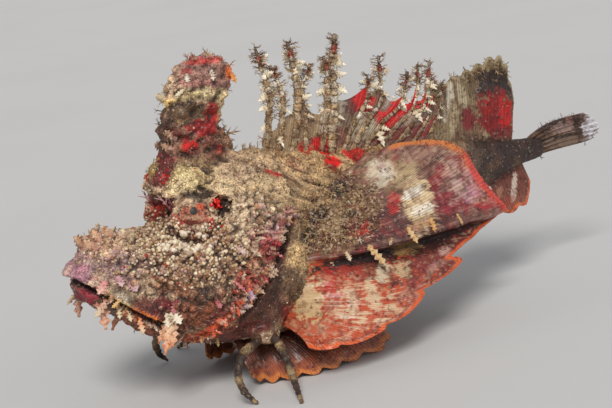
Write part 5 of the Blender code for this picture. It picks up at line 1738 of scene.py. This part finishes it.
olive_fin_skin = fin_finish("olive_fin_skin", SOFT_DORSAL_COUNT * 6, 0.55, 0.15)
upright = median_surface(
    [0, 0.35, 0.75, 1], SOFT_DORSAL, ON_BACK, -2.5, 1.2, between_rays(SOFT_DORSAL_COUNT, 0.06))
soft_dorsal = make_fin(
    "soft_dorsal_blade", 144, 70, upright, SOFT_DORSAL_COUNT, 0.5, 1.5, 1.0, 2)
finish_fin(soft_dorsal, (138, 118, 86), SOFT_DORSAL_MARKS, (176, 160, 122), 1.2,
           "soft_dorsal")
tail_fin = make_fin("tail_fin_blade", 90, 60, caudal_surface, CAUDAL_COUNT, 0.9, 2.4, 0.5, 4)
finish_fin(tail_fin, (126, 100, 80), CAUDAL_MARKS, (236, 236, 244), 0.8,
           "caudal_fin")
hanging = median_surface(
    [0, 0.3, 0.6, 0.85, 1], ANAL, ON_BELLY, 2.5, -0.8, between_rays(ANAL_LOBES, 0.12))
anal_fin = make_fin("anal_fin_blade", 132, 44, hanging, ANAL_COUNT, 0.5, 1.5, 0.6, 7)
finish_fin(anal_fin, (134, 80, 60), ANAL_MARKS, (222, 112, 62), 1.2, "anal_fin")

overgrown(
    "soft_dorsal_fringe", [soft_dorsal], cirrus, 260, 0.8, lambda p: zone(480, 70, 44, 12)(p) + 0.03,
    (1.0, 2.2), tinted(OLIVE, (96, 78, 50), BROWN, TAN), 41)
overgrown(
    "tail_fin_fringe", [tail_fin], cirrus, 150, 0.7, lambda p: zone(548, 120, 44, 9)(p) + 0.05,
    (0.8, 1.9), tinted(BROWN, DARK), 42)


# The dorsal spines, their web and tassels
# Stout spines in thick skin, each a chain of pale blocks parted by brown rings. A red web
# joins them low in front and high behind, and white toothed tassels and tufts hang on them.

# Each spine's line in the photograph's pixels from base to tip, and its radius at the base.
# The spines stand on the middle line of the back.
SPINE_LINES = (
    (((264, 156), (268, 128), (270, 100), (262, 76), (253, 46)), 0.9),
    (((277, 156), (281, 126), (284, 104), (280, 84), (272, 66)), 0.78),
    (((291, 156), (296, 122), (297, 92), (291, 66), (287, 42)), 1.07),
    (((305, 156), (305, 128), (303, 104), (305, 82), (312, 64)), 0.78),
    (((320, 156), (325, 122), (327, 98), (326, 78), (322, 56)), 0.9),
    (((330, 156), (332, 124), (333, 96), (334, 66), (337, 34)), 1.38),
    (((342, 154), (352, 128), (362, 108), (366, 92), (366, 74)), 0.65),
    (((350, 152), (366, 122), (380, 102), (382, 82), (381, 56)), 0.82),
    (((364, 150), (380, 124), (396, 108), (403, 92), (404, 72)), 0.7),
    (((378, 148), (396, 126), (412, 108), (419, 86), (420, 64)), 0.74),
    (((394, 146), (410, 126), (422, 106), (426, 86), (427, 60)), 0.74),
    (((412, 144), (424, 124), (432, 108), (434, 92), (433, 76)), 0.6),
    (((425, 143), (433, 124), (438, 108), (439, 96), (438, 84)), 0.5),
)
LINE_KEYS = np.linspace(0, 1, 5)
SPINE_TAPER = (1, 1.05, 0.95, 0.8, 0.45)
BLOCK_LENGTH = 2.3
BLOCK_TINTS = ((226, 214, 190), (206, 188, 154), (236, 230, 214), (180, 154, 118))
# How much of each spine the web reaches, from the first to the last.
WEB_SHARES = (0.22, 0.34, 0.50, 0.52, 0.40, 0.50, 0.84, 0.74, 0.70, 0.72, 0.74, 0.80, 0.85)
WEB_MARKS = (
    (288, 130, 40, 36, 0, (166, 140, 104), 0.9), (306, 126, 8, 26, 0, (140, 110, 84), 0.8),
    (362, 99, 12, 15, -30, (206, 26, 20), 1), (350, 104, 6, 12, -20, (96, 30, 28), 0.8),
    (411, 103, 22, 11, -16, (214, 18, 16), 1), (387, 119, 11, 9, -20, (214, 18, 16), 1),
    (432, 95, 9, 6, 20, (176, 50, 44), 0.8), (400, 134, 34, 7, -10, (130, 34, 30), 0.8),
    (430, 126, 12, 10, -10, (150, 36, 34), 0.8), (412, 120, 10, 6, 0, (196, 170, 150), 0.6),
    (333, 112, 9, 22, 20, (212, 204, 186), 0.8), (334, 118, 4, 12, 20, (236, 232, 222), 0.7),
    (364, 130, 13, 11, -10, (190, 176, 150), 0.85), (352, 140, 16, 7, -10, (176, 156, 124), 0.7),
    (330, 140, 20, 10, -20, (120, 44, 38), 0.7), (346, 108, 5, 20, 0, (90, 60, 46), 0.5),
    (306, 148, 8, 6, 0, SCARLET, 0.8), (320, 144, 10, 8, 0, SCARLET, 0.9),
)
# Tassels that hang on the spines: root and tip in the photograph's pixels, and half width.
TASSEL_LINES = (
    (383, 80, 378, 100, 4.5), (393, 92, 398, 103, 3), (413, 104, 420, 118, 4.5),
    (362, 118, 366, 137, 6), (379, 126, 388, 129, 3), (379, 126, 382, 143, 4.5),
    (403, 126, 406, 142, 6), (404, 127, 398, 131, 3.5), (341, 86, 350, 92, 5),
    (331, 84, 322, 92, 5), (324, 90, 314, 92, 4), (320, 104, 312, 112, 3.5), (335, 60, 326, 66, 5),
    (338, 60, 348, 64, 4), (335, 76, 345, 74, 4), (330, 72, 322, 70, 4), (290, 64, 282, 58, 5),
    (291, 66, 301, 62, 5), (296, 76, 304, 70, 4), (288, 74, 280, 74, 4.5), (262, 76, 270, 72, 4),
    (260, 62, 268, 56, 5), (268, 94, 258, 100, 5), (272, 104, 262, 108, 5), (284, 96, 276, 90, 4),
    (272, 122, 264, 128, 4), (298, 100, 308, 96, 4), (304, 84, 312, 78, 4), (366, 90, 374, 84, 4),
    (382, 72, 390, 70, 4), (380, 74, 372, 72, 3.5), (404, 84, 411, 80, 3.5),
    (396, 108, 390, 100, 3.5), (422, 88, 430, 84, 3.5), (420, 80, 412, 78, 3.5),
    (426, 100, 434, 104, 3), (292, 132, 298, 142, 3), (276, 130, 280, 142, 3),
    (410, 96, 400, 92, 3), (388, 112, 380, 108, 3),
)


def on_middle(pixels):
    """Places on the fish's upright middle plane that show at these pixels."""
    pixels = np.asarray(pixels, float)
    across, down = pixels[:, :1] - PICTURE_WIDTH / 2, pixels[:, 1:] - PICTURE_HEIGHT / 2
    rays = in_view(across, down, 1) - BACKWARD
    return VIEWPOINT - rays * (VIEWPOINT[1] / rays[:, 1])[:, None]


def spine_points(i):
    """The middle of a spine, which leans to one side of the next."""
    points = on_middle(SPINE_LINES[i][0])
    points[:, 1] += np.linspace(0, 1, len(points)) ** 2 * (1.6 if i % 2 else -1.3)
    return points


def make_spine(i):
    points, radius = spine_points(i), SPINE_LINES[i][1]
    length = np.linalg.norm(np.diff(points, axis=0), axis=1).sum()
    ring = limb_ring(points, [radius * share for share in SPINE_TAPER], (0, 1, 0.01))
    blocks = round(length / BLOCK_LENGTH)

    def place(u, v):
        centre = (ring(np.zeros_like(u), v) + ring(np.full_like(u, 0.5), v)) / 2
        block = 1.12 - 0.4 * step(np.abs((v * blocks) % 1 - 0.5), 0.38, 0.5)
        corner = np.maximum(np.abs(np.cos(2 * np.pi * u)), np.abs(np.sin(2 * np.pi * u)))
        return centre + (ring(u, v) - centre) * (block * (1 / corner ** 0.55 * 0.92))[:, None]

    spine = rolled("spine", 16, 8 * blocks, place)
    points = places_of(spine)
    lumps = 0.4 * rough(points, 1.8, i) + 0.2 * rough(points, 0.7, i)
    points += vertex_rows(spine, "normal") * lumps[:, None]
    points[:, 0] += 0.5 * rough(points * (0, 0, 1), 5.0, i)
    move_to(spine, points)
    v = values_of(spine, "v")
    gap = step(np.abs((v * blocks) % 1 - 0.5), 0.4, 0.48)
    tints = np.array([shade(tint) for tint in BLOCK_TINTS])
    tint = tints[(np.floor(v * blocks).astype(int) * 7 + i) % len(tints)]
    fuzzy = step(v, 0.8, 0.4) if i < 5 else step(v, 0.42, 0.22)
    give_paint(spine, layered(
        tint * 0.95,
        ((84, 52, 42), 0.9 * gap),
        ((160, 132, 94), 0.75 * fuzzy),
        ((104, 62, 46), 0.75 * step(v, 0.8, 0.9)),
        ((176, 40, 36), 0.7 * groove(v - 0.88, 0.05, 0.02)),
        ((110, 78, 58), 0.5 * step(rough(points, 2.2, 50), 0.25, 0.5))))
    return spine


def web_surface(u, v):
    count = len(SPINE_LINES)
    lines = [spine_points(i) for i in range(count)]
    shares = curve(np.arange(count), np.array(WEB_SHARES)[:, None], u * (count - 1))[:, 0]
    low = np.floor(u * (count - 1)).astype(int).clip(0, count - 2)
    part = (u * (count - 1) - low)[:, None]
    reach = v * shares * (1 - 0.22 * np.sin(np.pi * part[:, 0]) * v)
    places = np.empty((len(u), 3))
    for i in range(count - 1):
        rows = low == i
        one, two = (curve(LINE_KEYS, line, reach[rows]) for line in lines[i:i + 2])
        places[rows] = one + (two - one) * part[rows]
    places[:, 1] += 0.7 * np.sin(2 * np.pi * u * (count - 1)) * v
    return places


def make_web():
    web = make_fin("spine_web", 204, 40, web_surface, 12, 0.5, 1.1, 0.5, 3)
    points = places_of(web)
    ground_colours = layered(
        all_over(points, (150, 130, 102)), ((110, 60, 50), 0.6 * step(values_of(web, "u"), 0.4, 0.6)))
    give_paint(web, marked(points, ground_colours, WEB_MARKS, 0.3, 9))
    web.data.materials.append(fin_finish("web_skin", 12 * 8, 0.5, 0.2))
    return web


def make_tassels(bark):
    """White toothed tassels, each rooted where the spine comes nearest."""
    draw = random.Random(23)
    lines = list(TASSEL_LINES)
    for line, _ in SPINE_LINES:
        for _ in range(4):
            x, y = curve(np.arange(5), line, np.array([draw.uniform(0.8, 3.8)]))[0]
            tip_x, tip_y = x + draw.choice((-7, 7)), y + draw.uniform(-7, 5)
            lines.append((x, y, tip_x, tip_y, draw.uniform(1.6, 3.0)))
    rows = []
    for number, (x, y, tip_x, tip_y, half) in enumerate(lines):
        place = on_middle([(x, y)])[0]
        depth = depth_of(place)
        lead = in_view(tip_x - x, tip_y - y, depth)
        length = np.linalg.norm(lead)
        lead[1] += (-0.35 if number % 3 else 0.35) * length
        place = bark.nearest(place + lead / length * 2)[0]
        size = (half * 2 * depth / FOCUS * 1.6, length * 0.8, length)
        rows.append((place, lead, size, shade((216, 196, 156)), shade((250, 244, 226)), BACKWARD))
    return planted("tassels", tassel, *in_columns(rows))


def make_tufts():
    """Branched cirri along every spine, thickest at its tip."""
    draw = np.random.default_rng(19)
    rows = []
    for i in range(len(SPINE_LINES)):
        points = spine_points(i)
        low, high = (72, 44) if i < 6 else (34, 30)
        growths = [(s, 1.0 + 1.7 * draw.random(), TAN) for s in draw.uniform(0.1, 0.95, low)]
        growths += [(s, 1.1 + 1.5 * draw.random(), BROWN) for s in draw.uniform(0.8, 0.99, high)]
        for share, length, colour in growths:
            place = curve(LINE_KEYS, points, np.array([share]))[0]
            around = draw.uniform(0, 2 * np.pi)
            lead = np.array((np.cos(around), np.sin(around), draw.uniform(-0.2, 0.9)))
            tip = pick((CREAM, TAN, RUST, MAROON), (3, 5, 1, 2), 1, len(rows) + 1)[0]
            rows.append((place + lead * 0.5, lead, length, shade(colour) * 0.7, tip))
    return planted("spine_tufts", cirrus, *in_columns(rows))


spines = joined("spines", [make_spine(i) for i in range(len(SPINE_LINES))])
spines.data.shade_smooth()
spines.data.materials.append(skin_finish("spine_skin", 2300.0, 0.00025, 0.55))
web, tassels, tufts = make_web(), make_tassels(Ground(spines)), make_tufts()
tassels.data.materials.append(flap_finish("tassel_skin", 0.4))
tufts.data.materials.append(flap_skin)
for piece in (spines, web, tassels, tufts):
    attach(piece, "root")
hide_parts("dorsal_spines")


# The whole fish
# The small shapes that were copied are taken away again.

for shape in (bead, grain, flap, tassel, cirrus):
    bpy.data.objects.remove(shape, do_unlink=True)
